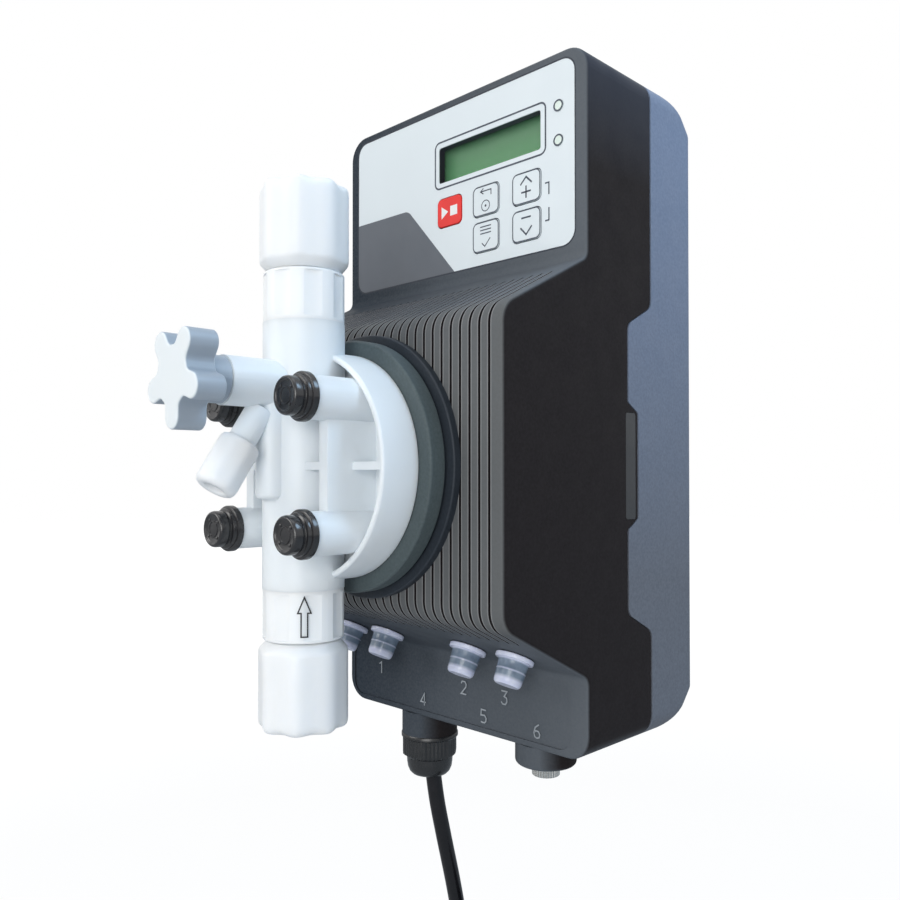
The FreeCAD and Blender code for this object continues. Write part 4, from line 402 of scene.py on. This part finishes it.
def finish_housing():
    """Painted light from above: the blue-grey is lighter and stronger towards the top."""
    made = finishes["housing"]
    grains = made.spread(made.noise(0.9, 3.0), 0, 1)
    low = made.mix(grains, (0.118, 0.128, 0.152), (0.150, 0.163, 0.192))
    high = made.mix(grains, (0.175, 0.225, 0.330), (0.215, 0.270, 0.385))
    # Painted light: greyer and darker low down, lighter and bluer high up.
    made.paint(made.mix(made.spread(made.along("Z"), 0, 1, -60 * MM, 100 * MM), low, high))


def finish_knob():
    """Painted shade: the rim around the knob's lobes is darker and cooler than its face."""
    made = finishes["knob"]
    # Painted shade on the surfaces that don't face along the knob's axis.
    rim = made.spread(made.facing("Y"), 1, 0, 0.25, 0.85)
    clouds = made.spread(made.noise(14, 2.0), 0, 0.25)
    edge = made.mix(clouds, (0.33, 0.385, 0.45), (0.48, 0.535, 0.60))
    made.paint(made.mix(rim, made.colour, edge))


def finish_dust_cap():
    """Bright flange and end, a clearer wall with a thin light line at mid height."""
    made = finishes["dust_cap"]
    down = made.reckon("SUBTRACT", made.along("Y"), CAP_FOOT[1] * MM)
    out = made.reckon("SUBTRACT", made.along("Z"), CAP_FOOT[2] * MM)
    tall = made.reckon("ADD", made.reckon("MULTIPLY", down, CAP_WAY[1]),
                       made.reckon("MULTIPLY", out, CAP_WAY[2]))
    line = made.reckon("MULTIPLY", made.spread(tall, 0, 1, 4.8 * MM, 5.1 * MM),
                       made.spread(tall, 1, 0, 5.3 * MM, 5.6 * MM))
    ends = made.reckon("MAXIMUM", made.spread(tall, 1, 0, 1.9 * MM, 2.5 * MM),
                       made.spread(tall, 0, 1, 7.0 * MM, 8.2 * MM))
    clouds = made.spread(made.noise(2.5, 2.0), 0, 1)
    wall = made.mix(clouds, (0.15, 0.20, 0.27), (0.22, 0.28, 0.36))
    bright = made.mix(clouds, (0.60, 0.63, 0.82), (0.70, 0.73, 0.87))
    light = made.reckon("MAXIMUM", made.reckon("MULTIPLY", line, 0.6), ends)
    made.paint(made.mix(light, wall, bright)).uneven(3, 0.05).grain(3, 0.03, 0.15)


def finish_display():
    """The display carries a painted shade from its recess, darker towards its upper edge, and its cells
    show faintly.
    """
    made = finishes["display"]
    # Painted shade from the recess, stronger towards the upper edge.
    upper = made.spread(made.along("Z"), 0, 1, 85 * MM, 98.2 * MM)
    base = made.mix(upper, tone(70, 152, 84), tone(52, 112, 64))
    cells = made.spread(made.noise(0.5, 1.0), 0, 0.2)
    made.paint(made.mix(cells, base, tone(56, 108, 68))).uneven(6, 0.04).grain(0.4, 0.004, 0.2)


def finish_window():
    """Clear window that lets the display show through."""
    made = finishes["window"]
    made.put("Alpha", 0.12)
    made.uneven(8, 0.02).grain(10, 0.01, 0.05).mottle(20, 0.02)


finish_cover()
finish_housing()
finish_knob()
finish_dust_cap()
finish_display()
finish_window()

NODE_FINISH = {
    "front_cover": "cover", "rear_housing": "housing", "housing_gasket": "seal",
    "case_screws": "screw", "side_plate": "plate", "label_overlay": "label",
    "lcd_window": "window", "lcd_module": "display", "lamp_lenses": "lamp",
    "key_start_stop": "red", "key_escape": "label", "key_menu": "label",
    "key_up": "label", "key_down": "label",
    "display_board": "board", "power_board": "board", "board_screws": "screw",
    "solenoid_can": "can", "pole_core": "core", "rod_bush": "bush",
    "coil_bobbin": "bobbin", "coil_winding": "winding", "armature": "core",
    "push_rod": "rod", "diaphragm_hub": "rod", "diaphragm": "membrane",
    "return_spring": "spring", "mount_collar": "collar", "diaphragm_ring": "ring",
    "pump_head": "head", "head_screws": "screw", "screw_caps": "cap",
    "discharge_valve_body": "valve", "discharge_seat": "seat", "discharge_ball": "ball",
    "discharge_nut": "nut", "discharge_hose_cone": "cone",
    "suction_valve_body": "valve", "suction_seat": "seat", "suction_ball": "ball",
    "suction_nut": "nut", "suction_hose_cone": "cone",
    "bleed_spindle": "cone", "star_knob": "knob", "bleed_nut": "nut",
    "socket_cap_1": "dust_cap", "socket_cap_2": "dust_cap",
    "socket_cap_3": "dust_cap", "socket_cap_4": "dust_cap",
    "signal_sockets": "nickel", "gland_body": "gland", "gland_seal": "seal",
    "gland_nut": "gland", "measuring_socket": "measuring",
    "mains_plug": "plug", "plug_pins": "nickel", "cord_tie": "tie",
}

for node, name in NODE_FINISH.items():
    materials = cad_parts[node].data.materials
    if len(materials):
        materials[0] = finishes[name].material
    else:
        materials.append(finishes[name].material)


# Mains cord. Its points are in millimetres. A turn of the coil is (radius, depth), where it starts.

CORD_RADIUS = 3.1
COIL_MIDDLE = (16.2, -238)
COIL_TURNS = [
    (40.9, -34), (34.5, -34), (28.1, -34),
    (28.1, -27.6), (34.5, -27.6), (40.9, -27.6), (47.0, -27.6),
]
COIL_STEPS = 16
COIL_CHANGE = 0.62
ROW_CHANGE_TURN = 2
ROW_CHANGE_TUCK = 2.4
CORD_START = [
    (-24, -54, -127),
    (-23.2, -52.5, -146),
    (-22.2, -48, -167),
    (-22.4, -42, -188.5),
    (-23, -36.5, -212),
    (-24, -34, -235),
]
CORD_END = [
    (-30.6, -27.6, -240),
    (-29, -27.8, -257),
    (-22, -29, -273),
    (-20, -29, -288),
]


def coil_points():
    """Six turns from the left side downwards, three in front going inwards and three behind going out.

    In the last part of a turn, after the share COIL_CHANGE, the cord moves over to the next one. Where it
    goes from the front row to the back row it is tucked inwards.
    """
    points = []
    for turn, (radius, depth) in enumerate(COIL_TURNS[:-1]):
        next_radius, next_depth = COIL_TURNS[turn + 1]
        for step in range(COIL_STEPS):
            share = step / COIL_STEPS
            ease = min(1.0, max(0.0, (share - COIL_CHANGE) / (1 - COIL_CHANGE)))
            ease = ease * ease * (3 - 2 * ease)
            here = radius + (next_radius - radius) * ease
            if turn == ROW_CHANGE_TURN:
                here -= ROW_CHANGE_TUCK * math.sin(math.pi * ease)
            angle = math.pi + 2 * math.pi * share
            points.append((
                COIL_MIDDLE[0] + here * math.cos(angle),
                depth + (next_depth - depth) * ease,
                COIL_MIDDLE[1] + here * math.sin(angle)))
    return points[1:]


def make_cord():
    points = CORD_START + coil_points() + CORD_END
    curve = bpy.data.curves.new("mains_lead", "CURVE")
    curve.dimensions = "3D"
    curve.bevel_depth = CORD_RADIUS * MM
    curve.bevel_resolution = 6
    curve.resolution_u = 8
    curve.use_fill_caps = True
    line = curve.splines.new("NURBS")
    line.points.add(len(points) - 1)
    for point, (x, y, z) in zip(line.points, points):
        point.co = (x * MM, y * MM, z * MM, 1)
    line.order_u = 3
    line.use_endpoint_u = True
    curve.materials.append(finishes["sheath"].material)
    lead = bpy.data.objects.new("mains_lead", curve)
    SCENE.collection.objects.link(lead)
    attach(lead, "case")
    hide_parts("mains_cord", "mains_cord_coil", "mains_cord_tail")
    return lead


lead = make_cord()


# Pieces in mesh code. Points are in millimetres.

def piece(name, points, faces, finish, body="case", smooth=False):
    mesh = bpy.data.meshes.new(name)
    mesh.from_pydata([tuple(c * MM for c in p) for p in points], [], faces)
    mesh.validate()
    if smooth:
        mesh.polygons.foreach_set("use_smooth", [True] * len(mesh.polygons))
    mesh.materials.append(finishes[finish].material)
    made = bpy.data.objects.new(name, mesh)
    SCENE.collection.objects.link(made)
    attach(made, body)
    return made


def arc(x, z, radius, start, stop, steps):
    """Points on an arc, angles in degrees from +X."""
    angles = [math.radians(start + (stop - start) * i / steps) for i in range(steps + 1)]
    return [(x + radius * math.cos(a), z + radius * math.sin(a)) for a in angles]


def ring(x, z, radius, count=24):
    """Points evenly around a circle."""
    return arc(x, z, radius, 0, 360 - 360 / count, count - 1)


def rounded(x, z, wide, tall, radius, steps=6):
    """Outline of a rounded rectangle about x, z."""
    half, rise = wide / 2 - radius, tall / 2 - radius
    corners = ((1, 1, 0), (-1, 1, 90), (-1, -1, 180), (1, -1, 270))
    return [point for sx, sz, start in corners
            for point in arc(x + sx * half, z + sz * rise, radius, start, start + 90, steps)]


def stroke(points, width, closed=False):
    """A line of even width: its flat points and faces, with mitred corners."""
    count = len(points)
    sides = []
    for i, point in enumerate(points):
        here = Vector(point)
        before = Vector(points[i - 1]) if closed or i else None
        after = Vector(points[(i + 1) % count]) if closed or i < count - 1 else None
        ways = [way.normalized() for way in (
            here - before if before is not None else None,
            after - here if after is not None else None) if way is not None]
        along = sum(ways, Vector((0, 0))).normalized()
        across = Vector((-along.y, along.x))
        stretch = 1 / max(0.4, along.dot(ways[0]))
        sides += [here + across * width / 2 * stretch, here - across * width / 2 * stretch]
    last = count if closed else count - 1
    faces = [(2 * i, 2 * i + 1, (2 * i + 3) % (2 * count), (2 * i + 2) % (2 * count)) for i in range(last)]
    return [tuple(p) for p in sides], faces


def filled(points):
    return list(points), [tuple(range(len(points)))]


def on_panel(depth):
    return lambda x, z: (x, -depth, z)


def printed(name, shapes, where, finish, body="case"):
    """One flat piece made of several flat shapes, put in place by where."""
    points, faces = [], []
    for flat, flat_faces in shapes:
        faces += [tuple(i + len(points) for i in face) for face in flat_faces]
        points += [where(x, z) for x, z in flat]
    return piece(name, points, faces, finish, body)


# Print, and a painted shadow line along the label's edge. Places are (x, z), and a rounded frame is x, z,
# width, height and corner radius.

INK_LIFT = 0.04
KEY_RISE = 0.35
LAMP_RISE = 0.2
FILM = PANEL + INK_LIFT
KEY_INK = PANEL + KEY_RISE + INK_LIFT
LAMP_INK = PANEL + LAMP_RISE + INK_LIFT
LABEL_EDGE = (0, 81.35, 110.3, 61.5, 5.1)
DISPLAY_FRAME = (16.75, 91.65, 52.5, 17.3, 2.2)
LAMPS = ((48.4, 97.2), (48.4, 85.8))
LAMP_RADIUS = 1.7
KEY_FRAME = (11.9, 10.2, 1.9)
KEYS = {
    "start_stop": (-1.9, 73.5), "escape": (16.35, 73.5), "menu": (16.35, 60.7),
    "up": (34.9, 73.5), "down": (34.9, 60.7),
}
EDGE_LINE = 0.55
FRAME_LINE = 0.65
BRACKET_LINE = 0.5
THIN_LINE = 0.42
FINE_LINE = 0.336
TICK_LINE = 0.4
BOLD_LINE = 0.6


def make_label_print():
    """Corner field, a painted shadow line along the label's edge, display frame, brackets beside two keys,
    and rims around the lamps.
    """
    corner = [(-54.9, 78.9), (-29.5, 78.6)] + arc(-26.9, 73.6, 5.0, 82, 38, 6)
    corner += [(0.6, 50.8), (-50.2, 50.8)] + arc(-50.0, 55.7, 4.9, 268, 180, 8)
    printed("label_corner_field", [filled(corner)], on_panel(FILM), "patch")
    # Painted shadow line all round the label's edge, where the shade of the recess wall falls.
    edge = stroke(rounded(*LABEL_EDGE), EDGE_LINE, True)
    printed("label_shadow_line", [edge], on_panel(FILM), "shadow_line_paint")
    lines = [
        stroke(rounded(*DISPLAY_FRAME), FRAME_LINE, True),
        stroke([(42.8, 73.0), (44.4, 73.0), (44.4, 69.0)], BRACKET_LINE),
        stroke([(44.4, 64.7), (44.4, 60.5), (42.8, 60.5)], BRACKET_LINE),
    ]
    printed("label_lines", lines, on_panel(FILM), "ink")
    rims = [stroke(ring(x, z, LAMP_RADIUS), EDGE_LINE, True) for x, z in LAMPS]
    printed("lamp_rims", rims, on_panel(LAMP_INK), "ink")


def make_key_outlines():
    """Every key but the red one has an outline."""
    for key, (x, z) in KEYS.items():
        if key != "start_stop":
            outline = stroke(rounded(x, z, *KEY_FRAME), THIN_LINE, True)
            printed("key_outline_" + key, [outline], on_panel(KEY_INK), "ink", key + "_key")


def start_stop_mark(x, z):
    """Filled triangle and square."""
    return [
        filled([(x - 3.9, z + 2.3), (x - 3.9, z - 2.3), (x - 0.5, z)]),
        filled([(x + 0.6, z + 1.8), (x + 0.6, z - 1.8), (x + 4.2, z - 1.8), (x + 4.2, z + 1.8)]),
    ]


def escape_mark(x, z):
    """Bent arrow to the left above a ring with a dot."""
    return [
        stroke([(x + 2.6, z + 1.4), (x + 2.6, z + 3.3), (x - 2.2, z + 3.3)], THIN_LINE),
        stroke([(x - 1.0, z + 4.3), (x - 2.4, z + 3.3), (x - 1.0, z + 2.3)], THIN_LINE),
        stroke(ring(x, z - 2.0, 1.9), FINE_LINE, True),
        filled(ring(x, z - 2.0, 0.45, 12)),
    ]


def menu_mark(x, z):
    """Three bars above a tick."""
    bars = [stroke([(x - 2.6, z + rise), (x + 2.6, z + rise)], THIN_LINE) for rise in (3.5, 2.3, 1.1)]
    return bars + [stroke([(x - 1.8, z - 2.2), (x - 0.4, z - 3.6), (x + 2.2, z - 0.9)], TICK_LINE)]


def up_mark(x, z):
    """Roof above a plus."""
    return [
        stroke([(x - 2.5, z + 1.2), (x, z + 3.6), (x + 2.5, z + 1.2)], BOLD_LINE),
        stroke([(x - 2.1, z - 1.5), (x + 2.1, z - 1.5)], BOLD_LINE),
        stroke([(x, z - 3.6), (x, z + 0.6)], BOLD_LINE),
    ]


def down_mark(x, z):
    """Minus above a roof turned over."""
    return [
        stroke([(x - 2.1, z + 2.6), (x + 2.1, z + 2.6)], BOLD_LINE),
        stroke([(x - 2.5, z - 0.6), (x, z - 3.2), (x + 2.5, z - 0.6)], BOLD_LINE),
    ]


def make_key_print():
    """Outlines of four keys and a generic mark on each of the five."""
    make_key_outlines()
    marks = {
        "start_stop": start_stop_mark, "escape": escape_mark, "menu": menu_mark,
        "up": up_mark, "down": down_mark,
    }
    for key, mark in marks.items():
        finish, slot = ("white_ink", "key_red") if key == "start_stop" else ("ink", "label_film")
        printed("key_mark_" + key, mark(*KEYS[key]), on_panel(KEY_INK), finish, key + "_key")


# A digit is one line of points about its middle, at DIGIT_SCALE times these sizes.

DIGIT_SCALE = 1.4
DIGIT_LINE = 0.5
DIGITS = {
    "1": [(-0.5, 1.0), (0.4, 1.6), (0.4, -1.6)],
    "2": [(-0.9, 1.0), (-0.5, 1.6), (0.5, 1.6), (0.9, 1.0), (0.8, 0.3), (-0.9, -1.6), (0.95, -1.6)],
    "3": [(-0.9, 1.6), (0.9, 1.6), (0.0, 0.3), (0.8, 0.0), (0.9, -0.9), (0.4, -1.6), (-0.5, -1.6),
          (-0.95, -1.1)],
    "4": [(0.4, -1.6), (0.4, 1.6), (-1.0, -0.7), (1.0, -0.7)],
    "5": [(0.85, 1.6), (-0.75, 1.6), (-0.85, 0.2), (0.4, 0.3), (0.9, -0.4), (0.8, -1.2), (0.3, -1.6),
          (-0.9, -1.5)],
    "6": [(0.6, 1.6), (-0.5, 0.8), (-0.9, -0.5), (-0.6, -1.4), (0.0, -1.65), (0.7, -1.4), (0.9, -0.7),
          (0.5, 0.0), (-0.3, 0.05), (-0.8, -0.4)],
}
DIGIT_PLACES = {
    "1": (-40.8, -100.3), "2": (5.2, -100.3), "3": (24.6, -100.3),
    "4": (-16.0, -108.4), "5": (14.9, -108.6), "6": (39.0, -108.7),
}


def make_port_digits():
    """Plain numbers beside the sockets."""
    for digit, (x, z) in DIGIT_PLACES.items():
        line = stroke([(x + u * DIGIT_SCALE, z + v * DIGIT_SCALE) for u, v in DIGITS[digit]], DIGIT_LINE)
        printed("port_digit_" + digit, [line], on_panel(FILM), "lead_ink")


def make_flow_arrow():
    """Outlined arrow on the suction valve body, pointing up the column."""
    facing = math.radians(56)
    column_radius = 12.5
    reach = column_radius + 0.12

    def on_column(x, z):
        angle = facing + x / column_radius
        return (reach * math.sin(angle), COLUMN_Y - reach * math.cos(angle), z)

    foot, neck, top = -71.6, -64.6, -59.9
    shaft, barb = 0.95, 1.95
    outline = [
        (-shaft, foot), (shaft, foot), (shaft, neck), (barb, neck),
        (0, top), (-barb, neck), (-shaft, neck)]
    printed("flow_arrow", [stroke(outline, THIN_LINE, True)], on_column, "arrow_ink")


make_label_print()
make_key_print()
make_port_digits()
make_flow_arrow()


# Turned pieces in place of plainer ones. Profiles are (radius, height) pairs in millimetres.

SHARP_ANGLE = math.radians(38)


def turned(profile, foot, way, around=96, wave=None, closed=False):
    """Points and faces of a form turned about a line from foot along way, which lies in the YZ plane.

    wave(angle, radius, height) adds to the radius. A closed profile ends where it starts, and an open one
    gets a flat face at both ends.
    """
    up = Vector(way).normalized()
    side = Vector((1, 0, 0))
    across = up.cross(side)
    points, faces = [], []
    for radius, height in profile:
        middle = Vector(foot) + up * height
        for i in range(around):
            angle = 2 * math.pi * i / around
            reach = radius + (wave(angle, radius, height) if wave else 0)
            points.append(middle + (side * math.cos(angle) + across * math.sin(angle)) * reach)
    rows = len(profile)
    for row in range(rows if closed else rows - 1):
        here, there = row * around, (row + 1) % rows * around
        for i in range(around):
            j = (i + 1) % around
            faces.append((here + i, here + j, there + j, there + i))
    if not closed:
        faces.append(tuple(reversed(range(around))))
        faces.append(tuple(range((rows - 1) * around, rows * around)))
    return points, faces


def solid(name, forms, finish, node, body="case"):
    """One smooth-shaded piece of several forms that takes the place of a node."""
    points, faces = [], []
    for some, some_faces in forms:
        faces += [tuple(i + len(points) for i in face) for face in some_faces]
        points += some
    made = piece(name, points, faces, finish, body, smooth=True)
    made.data.set_sharp_from_angle(angle=SHARP_ANGLE)
    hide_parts(node)
    return made


def make_screw_caps():
    """Stepped black caps with a bright rim around a sunk face that carries a ring and four dots."""
    boss_face, forward = -144.3, (0, -1, 0)
    screw_x, screw_heights = 19.516, (-1.5, -40.5)
    dot_circle = 3.5
    profile = [
        (7.0, 0.0), (7.2, 0.2), (7.2, 1.7), (7.05, 2.0), (6.75, 2.1), (6.35, 2.15), (6.3, 2.3), (6.3, 3.0),
        (6.15, 3.2), (5.6, 3.3), (5.35, 3.5), (5.35, 3.9), (5.6, 4.2), (5.65, 4.6), (5.65, 6.2), (5.5, 6.8),
        (5.2, 7.15), (4.8, 7.25), (4.5, 7.15), (4.3, 6.85), (4.0, 6.75), (2.6, 6.75), (2.5, 6.95),
        (2.25, 6.95), (2.15, 6.75)]
    dot = [(0.55, 6.6), (0.5, 6.9), (0.3, 7.0)]
    forms = []
    for x in (-screw_x, screw_x):
        for z in screw_heights:
            forms.append(turned(profile, (x, boss_face, z), forward, 64))
            for turn in (40, 130, 220, 310):
                angle = math.radians(turn)
                spot = (x + dot_circle * math.cos(angle), boss_face, z + dot_circle * math.sin(angle))
                forms.append(turned(dot, spot, forward, 10))
    solid("screw_cap_set", forms, "cap", "screw_caps")


def make_gland_nut():
    """Ribbed cap nut of the cable gland with six low lobes."""
    foot = (GLAND_X, GLAND_Y, -123.9)
    rib_count, rib_rise = 42, 0.16
    rib_start, rib_end = 1.9, 9.0
    lobe_count, lobe_rise = 6, 0.42

    def ribs(angle, radius, height):
        if not rib_start < height < rib_end:
            return 0
        lobe = lobe_rise * max(0.0, math.cos(lobe_count * angle)) ** 3
        return rib_rise * math.sin(rib_count * angle) + lobe

    profile = [
        (9.6, 0.0), (10.9, 0.1), (11.1, 0.4), (11.1, 1.5), (10.7, 1.9), (10.25, 2.1), (10.2, 4.0),
        (10.2, 7.6), (10.1, 8.6), (9.5, 9.2), (9.0, 9.6), (8.9, 11.6), (8.6, 13.6), (7.9, 15.2),
        (6.9, 16.2), (5.4, 16.7), (3.3, 16.7)]
    form = turned(profile, foot, (0, 0, -1), 6 * rib_count, ribs)
    solid("gland_cap_nut", [form], "gland", "gland_nut")


def make_dust_caps():
    """Soft hollow caps with a wide flange and a tapered wall."""
    profile = [
        (2.6, 8.9), (3.7, 8.7), (3.9, 8.3), (3.95, 0.5), (4.2, 0.3), (6.1, 0.3), (6.35, 0.5), (6.35, 1.5),
        (6.15, 1.8), (5.3, 1.9), (5.0, 2.2), (4.9, 3.0), (4.78, 4.9), (4.86, 5.2), (4.74, 5.5), (4.62, 7.6),
        (4.55, 8.7), (4.3, 9.4), (3.8, 9.8), (2.6, 9.8)]
    for number, x in enumerate((-41.3, -20.6, 20.6, 41.3), 1):
        form = turned(profile, (x, CAP_FOOT[1], CAP_FOOT[2]), CAP_WAY, 64)
        solid("dust_cap_%d_soft" % number, [form], "dust_cap", "socket_cap_%d" % number,
              "dust_cap_%d" % number)


def make_bleed_nut():
    """Small nut with eight shallow flutes at the end of the bleed nozzle."""
    tilt = math.radians(57)
    way = (0, -math.cos(tilt), -math.sin(tilt))
    stub_y, stub_z, nozzle_reach = -147, -4.6, 11.5
    foot = (0, stub_y + nozzle_reach * way[1], stub_z + nozzle_reach * way[2])
    flute_depth, flute_count, plain_radius = 0.22, 8, 5.7
    profile = [
        (4.35, 0.3), (4.6, 0.0), (5.3, 0.0), (5.9, 0.3), (6.3, 1.0), (6.4, 2.0), (6.4, 13.6), (6.25, 14.7),
        (5.8, 15.5), (5.0, 15.95), (4.2, 16.0), (3.4, 16.0), (3.1, 15.8), (3.05, 15.4), (3.05, 7.3),
        (4.35, 7.2)]

    def flutes(angle, radius, height):
        if radius <= plain_radius:
            return 0
        return -flute_depth * (0.5 - 0.5 * math.cos(flute_count * angle))

    form = turned(profile, foot, way, 96, flutes, True)
    solid("bleed_tube_nut", [form], "nut", "bleed_nut")


def make_spring():
    """Return spring of four turns."""
    turns, steps, around = 4, 56, 12
    reach, wire = 8.2, 0.6
    front, back = -82.85, -74.55
    rings = turns * steps
    points, faces = [], []
    for i in range(rings + 1):
        angle = 2 * math.pi * i / steps
        out = Vector((math.cos(angle), 0, math.sin(angle)))
        middle = Vector((0, back + (front - back) * i / rings, PLUNGER_Z)) + out * reach
        for j in range(around):
            turn = 2 * math.pi * j / around
            points.append(middle + out * wire * math.cos(turn) + Vector((0, wire * math.sin(turn), 0)))
    for i in range(rings):
        for j in range(around):
            k = (j + 1) % around
            faces.append((i * around + j, i * around + k, (i + 1) * around + k, (i + 1) * around + j))
    faces.append(tuple(reversed(range(around))))
    faces.append(tuple(range(rings * around, (rings + 1) * around)))
    made = solid("return_spring_wire", [(points, faces)], "spring", "return_spring")
    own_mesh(made)


def make_tube_nuts():
    """Lobed nuts of the two valves with scalloped outer ends."""
    lobe_count, lobe_depth, scallop_depth = 8, 0.62, 1.3
    plain_radius = 11.6
    lobe_start, lobe_run = 1.0, 3.0
    scallop_start, scallop_run = 23.5, 3.5

    def lobes(angle, radius, height):
        if radius < plain_radius:
            return 0
        dip = 0.5 - 0.5 * math.cos(lobe_count * angle)
        low = min(1.0, max(0.0, (height - lobe_start) / lobe_run))
        high = max(0.0, (height - scallop_start) / scallop_run)
        return -dip * (lobe_depth * low + scallop_depth * high * high)

    profile = [
        (9.45, 0.3), (9.7, 0.0), (10.9, 0.0), (11.4, 0.25), (13.3, 2.3), (13.7, 2.9), (13.85, 3.7),
        (13.85, 10.0), (13.85, 23.5), (13.85, 24.6), (13.75, 25.5), (13.45, 26.3), (12.9, 26.8),
        (12.2, 27.0), (6.4, 27.0), (6.1, 26.7), (6.1, 20.6), (9.45, 20.5)]
    for side, z, way in (("discharge", 38.8, 1), ("suction", -74.2, -1)):
        form = turned(profile, (0, COLUMN_Y, z), (0, 0, way), 128, lobes, True)
        solid(side + "_lobed_nut", [form], "nut", side + "_nut")


make_screw_caps()
make_gland_nut()
make_dust_caps()
make_bleed_nut()
make_tube_nuts()
make_spring()


# Lights, floor and surroundings, in metres

FLOOR_HALF = 6.0
FLOOR_SHINE = 1.13
FLOOR_FADE = (("From Min", 0.7), ("From Max", 1.8), ("To Min", 0.8), ("To Max", 1.0))
WORLD_LIGHT = 0.40
WORLD_SEEN = 1.0
WORLD_TINT = (0.90, 0.95, 1.0)


def floor_material():
    """Matte grey for the light that falls on it, and shining white to the camera, more so far out."""
    material = bpy.data.materials.new("floor")
    material.use_nodes = True
    tree = material.node_tree
    matte = tree.nodes["Principled BSDF"]
    matte.inputs["Base Color"].default_value = (0.55, 0.55, 0.55, 1)
    matte.inputs["Roughness"].default_value = 0.9
    matte.inputs["Specular IOR Level"].default_value = 0.1
    shine = tree.nodes.new("ShaderNodeEmission")
    shine.inputs["Strength"].default_value = FLOOR_SHINE
    spot = tree.nodes.new("ShaderNodeTexCoord")
    away = tree.nodes.new("ShaderNodeVectorMath")
    away.operation = "LENGTH"
    tree.links.new(spot.outputs["Object"], away.inputs[0])
    fade = tree.nodes.new("ShaderNodeMapRange")
    for name, value in FLOOR_FADE:
        fade.inputs[name].default_value = value
    tree.links.new(away.outputs["Value"], fade.inputs["Value"])
    seen = tree.nodes.new("ShaderNodeLightPath")
    share = tree.nodes.new("ShaderNodeMath")
    share.operation = "MULTIPLY"
    tree.links.new(seen.outputs["Is Camera Ray"], share.inputs[0])
    tree.links.new(fade.outputs["Result"], share.inputs[1])
    both = tree.nodes.new("ShaderNodeMixShader")
    tree.links.new(share.outputs[0], both.inputs[0])
    tree.links.new(matte.outputs[0], both.inputs[1])
    tree.links.new(shine.outputs[0], both.inputs[2])
    tree.links.new(both.outputs[0], tree.nodes["Material Output"].inputs["Surface"])
    return material


def make_floor():
    """Flat floor half a millimetre under the lowest point of the object."""
    half, low = FLOOR_HALF, cad_box[0].z - 0.0005
    mesh = bpy.data.meshes.new("floor")
    corners = [(-half, -half, low), (half, -half, low), (half, half, low), (-half, half, low)]
    mesh.from_pydata(corners, [], [(0, 1, 2, 3)])
    mesh.materials.append(floor_material())
    floor = bpy.data.objects.new("floor", mesh)
    SCENE.collection.objects.link(floor)


def make_world():
    """White to the camera, in mirrors and through clear pieces, and a dimmer, cooler light elsewhere."""
    world = bpy.data.worlds.new("studio")
    world.use_nodes = True
    tree = world.node_tree
    background = tree.nodes["Background"]
    rays = tree.nodes.new("ShaderNodeLightPath")
    total = rays.outputs["Is Camera Ray"]
    for name in ("Is Glossy Ray", "Is Transmission Ray"):
        both = tree.nodes.new("ShaderNodeMath")
        both.operation = "MAXIMUM"
        tree.links.new(total, both.inputs[0])
        tree.links.new(rays.outputs[name], both.inputs[1])
        total = both.outputs[0]
    tint = tree.nodes.new("ShaderNodeMix")
    tint.data_type = "RGBA"
    tint.inputs[MIX_FIRST].default_value = (*WORLD_TINT, 1)
    tint.inputs[MIX_SECOND].default_value = (1, 1, 1, 1)
    tree.links.new(total, tint.inputs["Factor"])
    tree.links.new(tint.outputs[MIX_RESULT], background.inputs["Color"])
    level = tree.nodes.new("ShaderNodeMapRange")
    level.inputs["To Min"].default_value = WORLD_LIGHT
    level.inputs["To Max"].default_value = WORLD_SEEN
    tree.links.new(total, level.inputs["Value"])
    tree.links.new(level.outputs["Result"], background.inputs["Strength"])
    SCENE.world = world


def soft_light(name, place, aim, size, watts, colour):
    data = bpy.data.lights.new(name, "AREA")
    data.shape = "SQUARE"
    data.size = size
    data.energy = watts
    data.color = colour
    light = bpy.data.objects.new(name, data)
    light.location = place
    light.rotation_euler = (Vector(aim) - Vector(place)).to_track_quat("-Z", "Y").to_euler()
    SCENE.collection.objects.link(light)


make_floor()
make_world()
soft_light("key", (-0.9, -1.6, 0.8), (0, -0.08, 0), 0.9, 11, (1.0, 0.985, 0.96))
soft_light("front", (0.8, -1.35, 0.15), (0, -0.08, 0), 0.8, 11, (1.0, 0.995, 0.98))
soft_light("top", (0.1, -0.3, 1.6), (0, -0.05, 0), 0.9, 4, (0.93, 0.97, 1.0))
soft_light("back", (1.1, 0.5, 1.3), (0.04, -0.02, 0.08), 0.7, 14, (0.50, 0.74, 1.0))

SCENE.view_settings.view_transform = "Standard"
